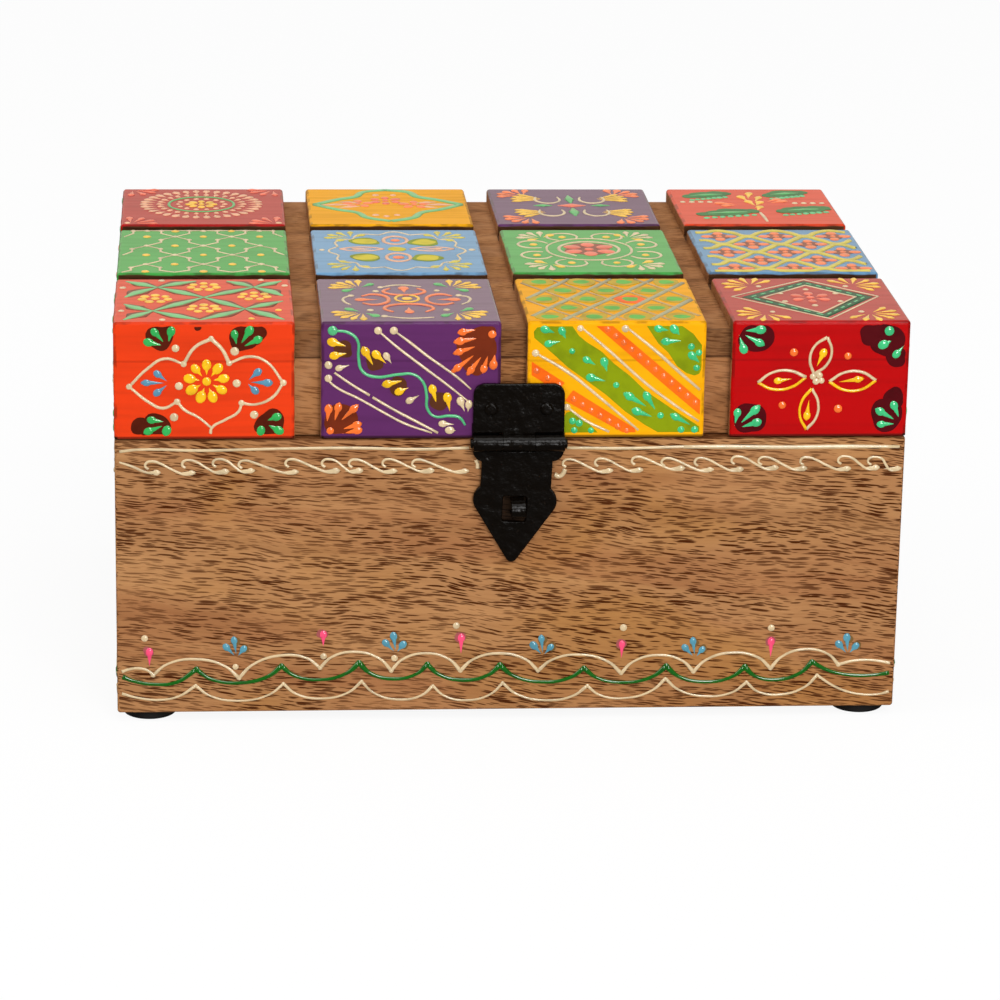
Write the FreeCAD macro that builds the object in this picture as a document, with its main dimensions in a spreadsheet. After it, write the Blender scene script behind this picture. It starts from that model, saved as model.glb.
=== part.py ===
"""Painted keepsake box: wooden walls, a hinged lid of raised blocks, an iron hasp and its staple.

Millimetres. +Z is up and the front faces -Y. The origin lies under the middle of the box, on the
surface that the feet stand on.
"""
import FreeCAD
import Part
import Sketcher
import os
from math import atan2, sqrt
from FreeCAD import Placement, Rotation, Vector

SIZES = (
    ("box_width", 203.2, "outside width of the box"),
    ("box_depth", 152.4, "outside depth of the box"),
    ("wall_height", 73.9, "height of the box walls"),
    ("board", 10.0, "thickness of the wall boards and of the lid rails"),
    ("floor_board", 6.0, "thickness of the bottom panel"),
    ("wall_round", 0.8, "rounding of the outer edges of the walls"),
    ("lid_gap", 0.3, "air between the rim of the box and the closed lid"),
    ("rail_height", 20.3, "height of the lid rails"),
    ("top_board", 10.2, "thickness of the lid's top board at the blocks"),
    ("column_groove", 6.6, "width of the three grooves that run from front to back"),
    ("row_groove", 5.8, "width of the two grooves that run from side to side"),
    ("middle_row", 50.0, "depth of the middle row of blocks"),
    ("groove_depth", 3.2, "depth of all grooves"),
    ("block_round", 0.9, "rounding of the block edges"),
    ("foot_width", 14.0, "diameter of a foot"),
    ("foot_height", 2.4, "height of a foot"),
    ("foot_inset", 8.3, "from the outer faces of the box to the middle of a foot"),
    ("foot_round", 0.8, "rounding of a foot's lower edge"),
    ("nail_head", 3.4, "diameter of a nail head"),
    ("nail_rise", 0.8, "height of a nail head"),
    ("nail_shank", 1.4, "diameter of a nail shank"),
    ("nail_length", 8.0, "length of a nail below its head"),
    ("nail_point", 1.6, "length of a nail's point"),
    ("nail_room", 0.05, "clearance round a nail shank"),
    ("pin_room", 0.05, "clearance between a pin and its knuckles"),
    ("pin_lip", 0.45, "how far a pin's peened head stands out past the shank"),
    ("pin_head", 0.6, "thickness of a pin's peened head"),
    ("end_room", 0.15, "clearance between knuckles, and between knuckles and pin heads"),
    ("barrel_gap", 0.3, "air between a knuckle and the wood behind it"),
    ("hinge_width", 25.0, "length of a back hinge"),
    ("hinge_leaf", 13.0, "reach of a hinge leaf from the hinge axis"),
    ("hinge_sheet", 1.0, "sheet thickness of the back hinges"),
    ("hinge_pin", 1.9, "diameter of a hinge pin"),
    ("hinge_knuckle", 8.6, "length of a hinge's middle knuckle"),
    ("hinge_corner", 1.2, "corner radius of a hinge leaf"),
    ("hinge_nail_out", 7.4, "from the middle of a hinge to its nails, along the axis"),
    ("hinge_nail_up", 8.2, "from the hinge axis to its nails"),
    ("hasp_offset", 1.4, "how far the hasp sits to the right of the middle"),
    ("hasp_width", 23.4, "length of the hasp's barrel and width of its leaf"),
    ("hasp_rise", 14.4, "height of the hasp leaf above the lid's lower edge"),
    ("hasp_sheet", 1.2, "sheet thickness of the hasp"),
    ("hasp_pin", 1.7, "diameter of the hasp's pin"),
    ("hasp_knuckle", 8.2, "length of the hasp's middle knuckle"),
    ("hasp_drop", 0.8, "how far the hasp's axis lies below the seam of the lid"),
    ("hasp_corner", 3.0, "radius of the upper corners of the hasp leaf"),
    ("sheared_corner", 0.5, "radius of corners that are only filed"),
    ("worn_edge", 0.3, "rounding of the hasp's front edges"),
    ("hasp_nail_out", 7.1, "from the middle of the hasp to its nails"),
    ("hasp_nail_up", 8.8, "from the hasp's axis to its nails"),
    ("shoulder_long", 5.2, "length of the strap's shoulders, from the axis"),
    ("shoulder_round", 3.0, "radius of the strap's shoulders"),
    ("neck_width", 18.2, "width of the strap's neck"),
    ("neck_long", 6.2, "length of the neck between shoulders and spade"),
    ("neck_lap", 2.0, "how far the neck runs into the shoulders and into the spade"),
    ("spade_width", 21.6, "width of the strap's spade"),
    ("spade_round", 4.2, "radius of the spade's upper corners"),
    ("strap_long", 32.2, "from the hasp's axis to the tip of the strap"),
    ("tip_round", 1.5, "radius of the strap's tip"),
    ("strap_lean", 2.5, "degrees by which neck and spade lean to the left"),
    ("slot_width", 6.1, "width of the strap's slot"),
    ("slot_height", 6.8, "height of the strap's slot"),
    ("slot_drop", 17.9, "from the hasp's axis to the middle of the slot"),
    ("slot_round", 0.6, "corner radius of the slot"),
    ("staple_width", 3.5, "width of the staple's strip"),
    ("staple_sheet", 1.1, "thickness of the staple's strip"),
    ("staple_height", 4.6, "height of the staple over both legs"),
    ("staple_reach", 6.0, "how far the staple stands out from the wall"),
    ("staple_lift", 0.6, "how far the staple sits above the middle of the slot"),
    ("staple_clinch", 4.0, "length of the staple's bent-over ends inside the box"),
    ("slit_room", 0.05, "clearance round the staple's legs in the wall"),
)

TINY = 1e-4
UP = Vector(0, 0, 1)

# Heights and places that several pieces share, as expressions on the sheet
RIM = "(dims.foot_height + dims.wall_height)"
LID_BASE = f"({RIM} + dims.lid_gap)"
SEAM = f"({RIM} + dims.lid_gap / 2)"
BLOCK_WIDTH = "((dims.box_width - 3 * dims.column_groove) / 4)"
COLUMN_PITCH = f"({BLOCK_WIDTH} + dims.column_groove)"
ROW_GROOVE_AT = "((dims.middle_row + dims.row_groove) / 2)"
HINGE_AT = f"(dims.box_width / 2 - {BLOCK_WIDTH} / 2)"
HASP_AXIS = f"({SEAM} - dims.hasp_drop)"
STAPLE_MIDDLE = f"({HASP_AXIS} - dims.slot_drop + dims.staple_lift)"

doc = FreeCAD.newDocument("keepsake_box")
dims = doc.addObject("Spreadsheet::Sheet", "dims")
for row, (alias, number, meaning) in enumerate(SIZES, start=1):
    dims.set(f"A{row}", meaning)
    dims.set(f"B{row}", str(number))
    dims.setAlias(f"B{row}", alias)
doc.recompute()

pieces = []


# Sketching

def value(expression):
    """The number that an expression on the sheet comes to."""
    return float(dims.evalExpression(expression))


def new_body(name):
    """An empty body that is a piece of the box."""
    body = doc.addObject("PartDesign::Body", name)
    body.Label = name
    pieces.append(body)
    return body


def sketch_on(body, name, plane, offset="0", turn="0"):
    """A sketch on one of the body's own planes, moved along the plane's normal and turned in it."""
    sketch = body.newObject("Sketcher::SketchObject", f"{body.Name}_{name}")
    role = f"{plane}_Plane"
    support = next(feature for feature in body.Origin.OriginFeatures if feature.Role == role)
    sketch.AttachmentSupport = [(support, "")]
    sketch.MapMode = "FlatFace"
    sketch.AttachmentOffset = Placement(Vector(), Rotation(UP, value(turn)))
    sketch.setExpression("AttachmentOffset.Base.z", offset)
    sketch.setExpression("AttachmentOffset.Rotation.Angle", turn)
    return sketch


def hold(sketch, kind, expression, *places):
    """A constraint whose value follows an expression."""
    index = sketch.addConstraint(Sketcher.Constraint(kind, *places, value(expression)))
    sketch.setExpression(f"Constraints[{index}]", expression)


def hold_point(sketch, geometry, point, x, y):
    """Hold one point of a sketch at a place measured from the sketch's origin."""
    hold(sketch, "DistanceX", x, -1, 1, geometry, point)
    hold(sketch, "DistanceY", y, -1, 1, geometry, point)


def polygon(sketch, *corners):
    """A closed outline of straight sides through the given corners."""
    points = [Vector(value(x), value(y), 0) for x, y in corners]
    count = len(points)
    sides = []
    for index in range(count):
        side = Part.LineSegment(points[index], points[(index + 1) % count])
        sides.append(sketch.addGeometry(side, False))
    for index in range(count):
        sketch.addConstraint(Sketcher.Constraint("Coincident", sides[index - 1], 2, sides[index], 1))
        hold_point(sketch, sides[index], 1, *corners[index])


def rectangle(sketch, left, bottom, right, top):
    polygon(sketch, (left, bottom), (right, bottom), (right, top), (left, top))


def circle(sketch, x, y, radius):
    outline = Part.Circle(Vector(value(x), value(y), 0), UP, value(radius))
    index = sketch.addGeometry(outline, False)
    hold_point(sketch, index, 3, x, y)
    hold(sketch, "Radius", radius, index)


def hull(sketch, *rounds):
    """The outline of a band stretched round circles (x, y, radius), listed counterclockwise."""
    circles = [(Vector(value(x), value(y), 0), value(radius)) for x, y, radius in rounds]
    count = len(circles)
    normals = []
    for index in range(count):
        centre, radius = circles[index]
        next_centre, next_radius = circles[(index + 1) % count]
        run = next_centre - centre
        lean = (radius - next_radius) / run.Length
        along = run * (1 / run.Length)
        outward = Vector(along.y, -along.x, 0)
        normals.append(along * lean + outward * sqrt(1 - lean ** 2))
    arcs = []
    sides = []
    for index in range(count):
        centre, radius = circles[index]
        next_centre, next_radius = circles[(index + 1) % count]
        before, after = normals[index - 1], normals[index]
        arc = Part.ArcOfCircle(
            Part.Circle(centre, UP, radius), atan2(before.y, before.x), atan2(after.y, after.x))
        side = Part.LineSegment(centre + after * radius, next_centre + after * next_radius)
        arcs.append(sketch.addGeometry(arc, False))
        sides.append(sketch.addGeometry(side, False))
    for index in range(count):
        next_arc = arcs[(index + 1) % count]
        sketch.addConstraint(Sketcher.Constraint("Tangent", arcs[index], 2, sides[index], 1))
        sketch.addConstraint(Sketcher.Constraint("Tangent", sides[index], 2, next_arc, 1))
        x, y, radius = rounds[index]
        hold_point(sketch, arcs[index], 3, x, y)
        hold(sketch, "Radius", radius, arcs[index])


# Solids from sketches

def pad(body, sketch, length):
    """Material on the side that the sketch's normal points to."""
    feature = body.newObject("PartDesign::Pad", f"{sketch.Name}_pad")
    feature.Profile = sketch
    feature.setExpression("Length", length)


def pocket(body, sketch, depth="", along_normal=False):
    """Cut to a depth, or right through, against the sketch's normal or along it."""
    doc.recompute()
    before = body.Shape.Volume
    feature = body.newObject("PartDesign::Pocket", f"{sketch.Name}_pocket")
    feature.Profile = sketch
    feature.Reversed = along_normal
    if depth:
        feature.setExpression("Length", depth)
    else:
        feature.Type = "ThroughAll"
    doc.recompute()
    if body.Shape.Volume > before - TINY:
        raise RuntimeError(f"{feature.Name} cuts nothing")


def revolve(body, sketch, axis):
    """A full turn of the sketch about its own H_Axis or V_Axis."""
    feature = body.newObject("PartDesign::Revolution", f"{sketch.Name}_turned")
    feature.Profile = sketch
    feature.ReferenceAxis = (sketch, [axis])
    feature.Angle = 360


def round_edges(body, radius, chosen):
    """Fillet those edges of the body's last feature that the test picks."""
    doc.recompute()
    base = body.Tip
    names = [f"Edge{i}" for i, edge in enumerate(base.Shape.Edges, start=1) if chosen(edge)]
    feature = body.newObject("PartDesign::Fillet", f"{body.Name}_rounding")
    feature.Base = (base, names)
    feature.setExpression("Radius", radius)


def near(first, second):
    return abs(first - second) < TINY


def upright(edge):
    ends = [vertex.Point for vertex in edge.Vertexes]
    return len(ends) == 2 and near(ends[0].x, ends[1].x) and near(ends[0].y, ends[1].y)


def place(body, x="0", y="0", z="0", turn=0):
    """Set a piece in the box: turned about its own Z first, then moved."""
    body.Placement = Placement(Vector(), Rotation(UP, turn))
    body.setExpression("Placement.Base.x", x)
    body.setExpression("Placement.Base.y", y)
    body.setExpression("Placement.Base.z", z)


# Wooden boards. Each is drawn as if it stood at the front and is then turned to its own side.

HALF_WIDTH = "(dims.box_width / 2)"
HALF_DEPTH = "(dims.box_depth / 2)"
SIDE_LENGTH = "(dims.box_depth - 2 * dims.board)"


def standing_board(name, length, reach, height):
    """A board whose outer face stands at the given reach in front of the middle."""
    body = new_body(name)
    outline = sketch_on(body, "outline", "XY")
    rectangle(outline, f"-{length} / 2", f"-{reach}", f"{length} / 2", f"-{reach} + dims.board")
    pad(body, outline, height)
    return body


def nail_holes(body, reach, sheet, spots):
    """Blind holes in a board's outer face, for nails that go through a sheet first."""
    holes = sketch_on(body, "nail_holes", "XZ", offset=reach)
    for x, z in spots:
        circle(holes, x, z, "dims.nail_shank / 2 + dims.nail_room")
    pocket(body, holes, depth=f"dims.nail_length - {sheet} + dims.nail_room")


def hinge_nail_spots(height):
    return [
        (f"{side} * {HINGE_AT} + {end} * dims.hinge_nail_out", height)
        for side in (-1, 1) for end in (-1, 1)]


def long_wall(name, turn):
    """The front or back wall, full width, with all its outer edges rounded."""
    body = standing_board(name, "dims.box_width", HALF_DEPTH, "dims.wall_height")
    outer = -value(HALF_DEPTH)
    end = value(HALF_WIDTH)

    def outside(edge):
        middle = edge.CenterOfMass
        return near(middle.y, outer) or (near(abs(middle.x), end) and not upright(edge))

    round_edges(body, "dims.wall_round", outside)
    place(body, z="dims.foot_height", turn=turn)
    return body


def front_panel():
    """The front wall, with two slits for the legs of the staple."""
    body = long_wall("front_panel", turn=0)
    slits = sketch_on(body, "slits", "XZ", offset=HALF_DEPTH)
    middle = f"({STAPLE_MIDDLE} - dims.foot_height)"
    half_width = "(dims.staple_width / 2 + dims.slit_room)"
    for side in (-1, 1):
        leg = f"({middle} + {side} * (dims.staple_height - dims.staple_sheet) / 2)"
        half_height = "(dims.staple_sheet / 2 + dims.slit_room)"
        rectangle(
            slits, f"dims.hasp_offset - {half_width}", f"{leg} - {half_height}",
            f"dims.hasp_offset + {half_width}", f"{leg} + {half_height}")
    pocket(body, slits)


def back_panel():
    """The back wall, with nail holes for the two hinges."""
    body = long_wall("back_panel", turn=180)
    height = f"{SEAM} - dims.foot_height - dims.hinge_nail_up"
    nail_holes(body, HALF_DEPTH, "dims.hinge_sheet", hinge_nail_spots(height))


def side_panel(name, turn):
    """A side wall that fits between front and back, rounded along its top and bottom."""
    body = standing_board(name, SIDE_LENGTH, HALF_WIDTH, "dims.wall_height")
    outer = -value(HALF_WIDTH)
    round_edges(
        body, "dims.wall_round",
        lambda edge: near(edge.CenterOfMass.y, outer) and not upright(edge))
    place(body, z="dims.foot_height", turn=turn)


def bottom_panel():
    """The floor board, flush with the lower edges of the walls."""
    body = new_body("bottom_panel")
    outline = sketch_on(body, "outline", "XY")
    half_width = "(dims.box_width / 2 - dims.board)"
    half_depth = "(dims.box_depth / 2 - dims.board)"
    rectangle(outline, f"-{half_width}", f"-{half_depth}", half_width, half_depth)
    pad(body, outline, "dims.floor_board")
    place(body, z="dims.foot_height")


def foot(name, side, end):
    """A round pad under one corner."""
    body = new_body(name)
    outline = sketch_on(body, "outline", "XY")
    circle(outline, "0", "0", "dims.foot_width / 2")
    pad(body, outline, "dims.foot_height")
    round_edges(body, "dims.foot_round", lambda edge: near(edge.CenterOfMass.z, 0) and edge.Closed)
    place(
        body, x=f"{side} * ({HALF_WIDTH} - dims.foot_inset)",
        y=f"{end} * ({HALF_DEPTH} - dims.foot_inset)")


# The lid: grooves run over the top board and down the rails, so twelve blocks stay raised

COLUMN_GROOVES = tuple(f"{step} * {COLUMN_PITCH}" for step in (-1, 0, 1))
ROW_GROOVES = tuple(f"{side} * {ROW_GROOVE_AT}" for side in (-1, 1))


def groove_mouths(body, name, plane_offset, grooves, width, reach, side=-1):
    """Notches that open a board's outer face, cut right through from above."""
    notches = sketch_on(body, name, "XY", offset=plane_offset)
    for middle in grooves:
        rectangle(
            notches, f"{middle} - {width} / 2", f"{side} * {reach}",
            f"{middle} + {width} / 2", f"{side} * ({reach} - dims.groove_depth)")
    pocket(body, notches)


def lid_rail(name, length, reach, grooves, width, turn, round_ends):
    """One rail of the lid, grooved on its outer face, with the upright block edges rounded."""
    body = standing_board(name, length, reach, "dims.rail_height")
    groove_mouths(body, "grooves", "dims.rail_height", grooves, width, reach)
    outer = -value(reach)
    end = value(f"{length} / 2")

    def block_edge(edge):
        middle = edge.CenterOfMass
        at_end = near(abs(middle.x), end)
        return upright(edge) and near(middle.y, outer) and (round_ends or not at_end)

    round_edges(body, "dims.block_round", block_edge)
    place(body, z=LID_BASE, turn=turn)
    return body


def lid_rails():
    """Front and back rails over the full width, side rails between them."""
    front = lid_rail(
        "lid_front_rail", "dims.box_width", HALF_DEPTH, COLUMN_GROOVES, "dims.column_groove",
        turn=0, round_ends=True)
    nail_height = f"{HASP_AXIS} + dims.hasp_nail_up - {LID_BASE}"
    spots = [(f"dims.hasp_offset + {side} * dims.hasp_nail_out", nail_height) for side in (-1, 1)]
    nail_holes(front, HALF_DEPTH, "dims.hasp_sheet", spots)
    back = lid_rail(
        "lid_back_rail", "dims.box_width", HALF_DEPTH, COLUMN_GROOVES, "dims.column_groove",
        turn=180, round_ends=True)
    height = f"{SEAM} + dims.hinge_nail_up - {LID_BASE}"
    nail_holes(back, HALF_DEPTH, "dims.hinge_sheet", hinge_nail_spots(height))
    for name, turn in (("lid_left_rail", -90), ("lid_right_rail", 90)):
        lid_rail(
            name, SIDE_LENGTH, HALF_WIDTH, ROW_GROOVES, "dims.row_groove",
            turn=turn, round_ends=False)


def lid_top_board():
    """The top board, with twelve raised blocks left between its grooves."""
    body = new_body("lid_top_board")
    outline = sketch_on(body, "outline", "XY")
    rectangle(outline, f"-{HALF_WIDTH}", f"-{HALF_DEPTH}", HALF_WIDTH, HALF_DEPTH)
    pad(body, outline, "dims.top_board")
    columns = sketch_on(body, "columns", "XY", offset="dims.top_board")
    for middle in COLUMN_GROOVES:
        half = "dims.column_groove / 2"
        rectangle(columns, f"{middle} - {half}", f"-{HALF_DEPTH}", f"{middle} + {half}", HALF_DEPTH)
    pocket(body, columns, depth="dims.groove_depth")
    rows = sketch_on(body, "rows", "XY", offset="dims.top_board")
    for middle in ROW_GROOVES:
        half = "dims.row_groove / 2"
        rectangle(rows, f"-{HALF_WIDTH}", f"{middle} - {half}", HALF_WIDTH, f"{middle} + {half}")
    pocket(body, rows, depth="dims.groove_depth")
    for side, name in ((-1, "front_mouths"), (1, "back_mouths")):
        groove_mouths(
            body, name, "dims.top_board", COLUMN_GROOVES, "dims.column_groove", HALF_DEPTH, side)
    for side, name in ((-1, "left_mouths"), (1, "right_mouths")):
        notches = sketch_on(body, name, "XY", offset="dims.top_board")
        for middle in ROW_GROOVES:
            half = "dims.row_groove / 2"
            rectangle(
                notches, f"{side} * {HALF_WIDTH}", f"{middle} - {half}",
                f"{side} * ({HALF_WIDTH} - dims.groove_depth)", f"{middle} + {half}")
        pocket(body, notches)
    top = value("dims.top_board")
    round_edges(
        body, "dims.block_round",
        lambda edge: max(vertex.Z for vertex in edge.Vertexes) > top - TINY)
    place(body, z=f"{LID_BASE} + dims.rail_height")


# Iron hinges. A leaf is drawn with its axis along X through the origin and the wood on the +Y side.

def knuckle_radius(kind):
    return f"(dims.{kind}_pin / 2 + dims.pin_room + dims.{kind}_sheet)"


def axis_reach(kind):
    """From the wood's face out to the axis of a hinge."""
    return f"({knuckle_radius(kind)} + dims.barrel_gap)"


def sheet_outline(body, name, kind, back, rounds, turn="0"):
    """A flat piece of sheet iron whose back lies at the given distance behind the axis."""
    outline = sketch_on(body, name, "XZ", offset=f"-{back}", turn=turn)
    hull(outline, *rounds)
    pad(body, outline, f"dims.{kind}_sheet")


def corners(left, bottom, right, top, lower_round, upper_round):
    """The four corner circles of a plate, counterclockwise from the lower left."""
    return (
        (f"{left} + {lower_round}", f"{bottom} + {lower_round}", lower_round),
        (f"{right} - {lower_round}", f"{bottom} + {lower_round}", lower_round),
        (f"{right} - {upper_round}", f"{top} - {upper_round}", upper_round),
        (f"{left} + {upper_round}", f"{top} - {upper_round}", upper_round))


def cut_sheet(body, name, back, boxes):
    """Rectangles cut through a sheet from its back."""
    cuts = sketch_on(body, name, "XZ", offset=f"-{back}")
    for box in boxes:
        rectangle(cuts, *box)
    pocket(body, cuts, along_normal=True)


def sleeve(body, name, kind, start, end):
    """One knuckle: a rolled sleeve between two places along the axis."""
    ring = sketch_on(body, name, "YZ", offset=start)
    circle(ring, "0", "0", knuckle_radius(kind))
    pad(body, ring, f"{end} - ({start})")


def bore(body, kind):
    """The hole for the pin, through all knuckles of a leaf."""
    ring = sketch_on(body, "bore", "YZ", offset=f"-dims.{kind}_width / 2")
    circle(ring, "0", "0", f"dims.{kind}_pin / 2 + dims.pin_room")
    pocket(body, ring, along_normal=True)


def middle_knuckle(body, kind, back, low):
    """Free the plate beside its middle knuckle, then add that knuckle."""
    half = f"(dims.{kind}_knuckle / 2)"
    edge = f"(dims.{kind}_width / 2 + dims.end_room)"
    clear = axis_reach(kind)
    cut_sheet(body, "beside", back, (
        (f"-{edge}", f"{low} - dims.end_room", f"-{half}", clear),
        (half, f"{low} - dims.end_room", edge, clear)))
    sleeve(body, "sleeve", kind, f"-{half}", half)
    bore(body, kind)


def outer_knuckles(body, kind, back):
    """Free the plate below its neighbour's knuckle, then add the two outer knuckles."""
    half = f"(dims.{kind}_knuckle / 2 + dims.end_room)"
    end = f"(dims.{kind}_width / 2)"
    clear = axis_reach(kind)
    cut_sheet(body, "between", back, ((f"-{half}", f"-{clear}", half, "dims.end_room"),))
    sleeve(body, "left_sleeve", kind, f"-{end}", f"-{half}")
    sleeve(body, "right_sleeve", kind, half, end)
    bore(body, kind)


def sheet_nail_holes(body, kind, back, height):
    """Two nail holes through a leaf."""
    holes = sketch_on(body, "nail_holes", "XZ", offset=f"-{back}")
    for side in (-1, 1):
        circle(holes, f"{side} * dims.{kind}_nail_out", height, "dims.nail_shank / 2 + dims.nail_room")
    pocket(body, holes, along_normal=True)


def wear_front_edges(body, kind, back, far):
    """Round the front edges of a plate, from a distance beyond the axis outwards."""
    front = value(f"{back} - dims.{kind}_sheet")
    limit = value(far)

    def outline(edge):
        in_front = all(near(vertex.Y, front) for vertex in edge.Vertexes)
        return in_front and all(abs(vertex.Z) > limit - TINY for vertex in edge.Vertexes)

    round_edges(body, "dims.worn_edge", outline)


def pin(name, kind):
    """A pin with a peened head at each end, along X."""
    body = new_body(name)
    half = sketch_on(body, "half", "XY")
    inner = f"(dims.{kind}_width / 2 + dims.end_room)"
    outer = f"({inner} + dims.pin_head)"
    shank = f"dims.{kind}_pin / 2"
    head = f"{shank} + dims.pin_lip"
    polygon(
        half, (f"-{outer}", "0"), (outer, "0"), (outer, head), (inner, head), (inner, shank),
        (f"-{inner}", shank), (f"-{inner}", head), (f"-{outer}", head))
    revolve(body, half, "H_Axis")
    end = value(outer)
    round_edges(
        body, "dims.pin_lip",
        lambda edge: edge.Closed and near(abs(edge.CenterOfMass.x), end))
    return body


def nail(name, kind, x, z, turn):
    """A nail driven into the outer face of the front or back, head on the sheet iron."""
    body = doc.addObject("PartDesign::Body", name)
    half = sketch_on(body, "half", "XY")
    shank = "dims.nail_shank / 2"
    head = "dims.nail_head / 2"
    polygon(
        half, ("0", "-dims.nail_rise"), (head, "-dims.nail_rise"), (head, "0"), (shank, "0"),
        (shank, "dims.nail_length - dims.nail_point"), ("0", "dims.nail_length"))
    revolve(body, half, "V_Axis")
    top = -value("dims.nail_rise")
    round_edges(
        body, "0.9 * dims.nail_rise",
        lambda edge: edge.Closed and near(edge.CenterOfMass.y, top))
    side = 1 if turn else -1
    place(body, x=x, y=f"{side} * ({HALF_DEPTH} + dims.{kind}_sheet)", z=z, turn=turn)
    return body


def nail_group(name, kind, spots, turn):
    """Equal nails as one piece."""
    group = doc.addObject("Part::Compound", name)
    group.Label = name
    group.Links = [nail(f"{name}_{i}", kind, x, z, turn) for i, (x, z) in enumerate(spots, start=1)]
    pieces.append(group)


def back_hinge(name, side):
    """One back hinge: the box leaf has the outer knuckles, the lid leaf the middle one."""
    back = axis_reach("hinge")
    half = "dims.hinge_width / 2"
    spot = {
        "x": f"{side} * {HINGE_AT}", "y": f"{HALF_DEPTH} + {back}", "z": SEAM, "turn": 180}
    box_leaf = new_body(f"{name}_box_leaf")
    sheet_outline(
        box_leaf, "plate", "hinge", back,
        corners(f"-{half}", "-dims.hinge_leaf", half, "0", "dims.hinge_corner", "dims.sheared_corner"))
    outer_knuckles(box_leaf, "hinge", back)
    sheet_nail_holes(box_leaf, "hinge", back, "-dims.hinge_nail_up")
    lid_leaf = new_body(f"{name}_lid_leaf")
    sheet_outline(
        lid_leaf, "plate", "hinge", back,
        corners(f"-{half}", "0", half, "dims.hinge_leaf", "dims.sheared_corner", "dims.hinge_corner"))
    middle_knuckle(lid_leaf, "hinge", back, "0")
    sheet_nail_holes(lid_leaf, "hinge", back, "dims.hinge_nail_up")
    for body in (box_leaf, lid_leaf, pin(f"{name}_pin", "hinge")):
        place(body, **spot)


def hasp():
    """The hasp: a leaf nailed to the lid, a pin, and a strap that swings over the staple."""
    half = "dims.hasp_width / 2"
    spot = {"x": "dims.hasp_offset", "y": f"-({HALF_DEPTH} + {axis_reach('hasp')})", "z": HASP_AXIS}

    leaf_back = axis_reach("hasp")
    leaf = new_body("hasp_leaf")
    low = "dims.hasp_drop"
    top = f"({LID_BASE} + dims.hasp_rise - {HASP_AXIS})"
    sheet_outline(
        leaf, "plate", "hasp", leaf_back,
        corners(f"-{half}", low, half, top, "dims.sheared_corner", "dims.hasp_corner"))
    middle_knuckle(leaf, "hasp", leaf_back, low)
    wear_front_edges(leaf, "hasp", leaf_back, axis_reach("hasp"))
    sheet_nail_holes(leaf, "hasp", leaf_back, "dims.hasp_nail_up")

    strap_back = knuckle_radius("hasp")
    strap = new_body("hasp_strap")
    sheet_outline(
        strap, "shoulders", "hasp", strap_back,
        corners(
            f"-{half}", "-dims.shoulder_long", half, "0", "dims.shoulder_round", "dims.sheared_corner"))
    neck_half = "dims.neck_width / 2"
    spade_top = "(dims.shoulder_long + dims.neck_long)"
    sheet_outline(
        strap, "neck", "hasp", strap_back,
        corners(
            f"-{neck_half}", f"-{spade_top} - dims.neck_lap", neck_half,
            "-dims.shoulder_long + dims.neck_lap", "dims.sheared_corner", "dims.sheared_corner"),
        turn="-dims.strap_lean")
    spade_half = "(dims.spade_width / 2 - dims.spade_round)"
    spade_high = f"-{spade_top} - dims.spade_round"
    sheet_outline(
        strap, "spade", "hasp", strap_back,
        (
            ("0", "-dims.strap_long + dims.tip_round", "dims.tip_round"),
            (spade_half, spade_high, "dims.spade_round"),
            (f"-{spade_half}", spade_high, "dims.spade_round")),
        turn="-dims.strap_lean")
    outer_knuckles(strap, "hasp", strap_back)
    slot = sketch_on(strap, "slot", "XZ", offset=f"-{strap_back}", turn="-dims.strap_lean")
    slot_half = "dims.slot_width / 2"
    hull(slot, *corners(
        f"-{slot_half}", "-dims.slot_drop - dims.slot_height / 2", slot_half,
        "-dims.slot_drop + dims.slot_height / 2", "dims.slot_round", "dims.slot_round"))
    pocket(strap, slot, along_normal=True)
    wear_front_edges(strap, "hasp", strap_back, knuckle_radius("hasp"))

    for body in (leaf, strap, pin("hasp_pin", "hasp")):
        place(body, **spot)


def hasp_staple():
    """An iron strip bent to a U: its legs pass through the front wall and are bent over inside."""
    body = new_body("hasp_staple")
    outer = "(dims.staple_height / 2)"
    inner = f"({outer} - dims.staple_sheet)"
    bow_middle = f"(-dims.staple_reach + {outer})"
    leg_end = "(dims.board + dims.staple_sheet)"
    filed = "dims.sheared_corner"

    def bow(name, radius, end):
        """A side view with a round front and straight legs that run to the given end."""
        outline = sketch_on(body, name, "YZ", offset="-dims.staple_width / 2")
        corner_x = f"{end} - {filed}"
        corner_y = f"({radius} - {filed})"
        hull(
            outline, (bow_middle, "0", radius), (corner_x, f"-{corner_y}", filed),
            (corner_x, corner_y, filed))
        return outline

    pad(body, bow("outside", outer, leg_end), "dims.staple_width")
    pocket(body, bow("eye", inner, f"2 * {leg_end}"), along_normal=True)
    clinches = sketch_on(body, "clinches", "YZ", offset="-dims.staple_width / 2")
    for side in (-1, 1):
        rectangle(
            clinches, "dims.board", f"{side} * {inner}", leg_end,
            f"{side} * ({outer} + dims.staple_clinch)")
    pad(body, clinches, "dims.staple_width")
    place(body, x="dims.hasp_offset", y=f"-{HALF_DEPTH}", z=STAPLE_MIDDLE)


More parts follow.
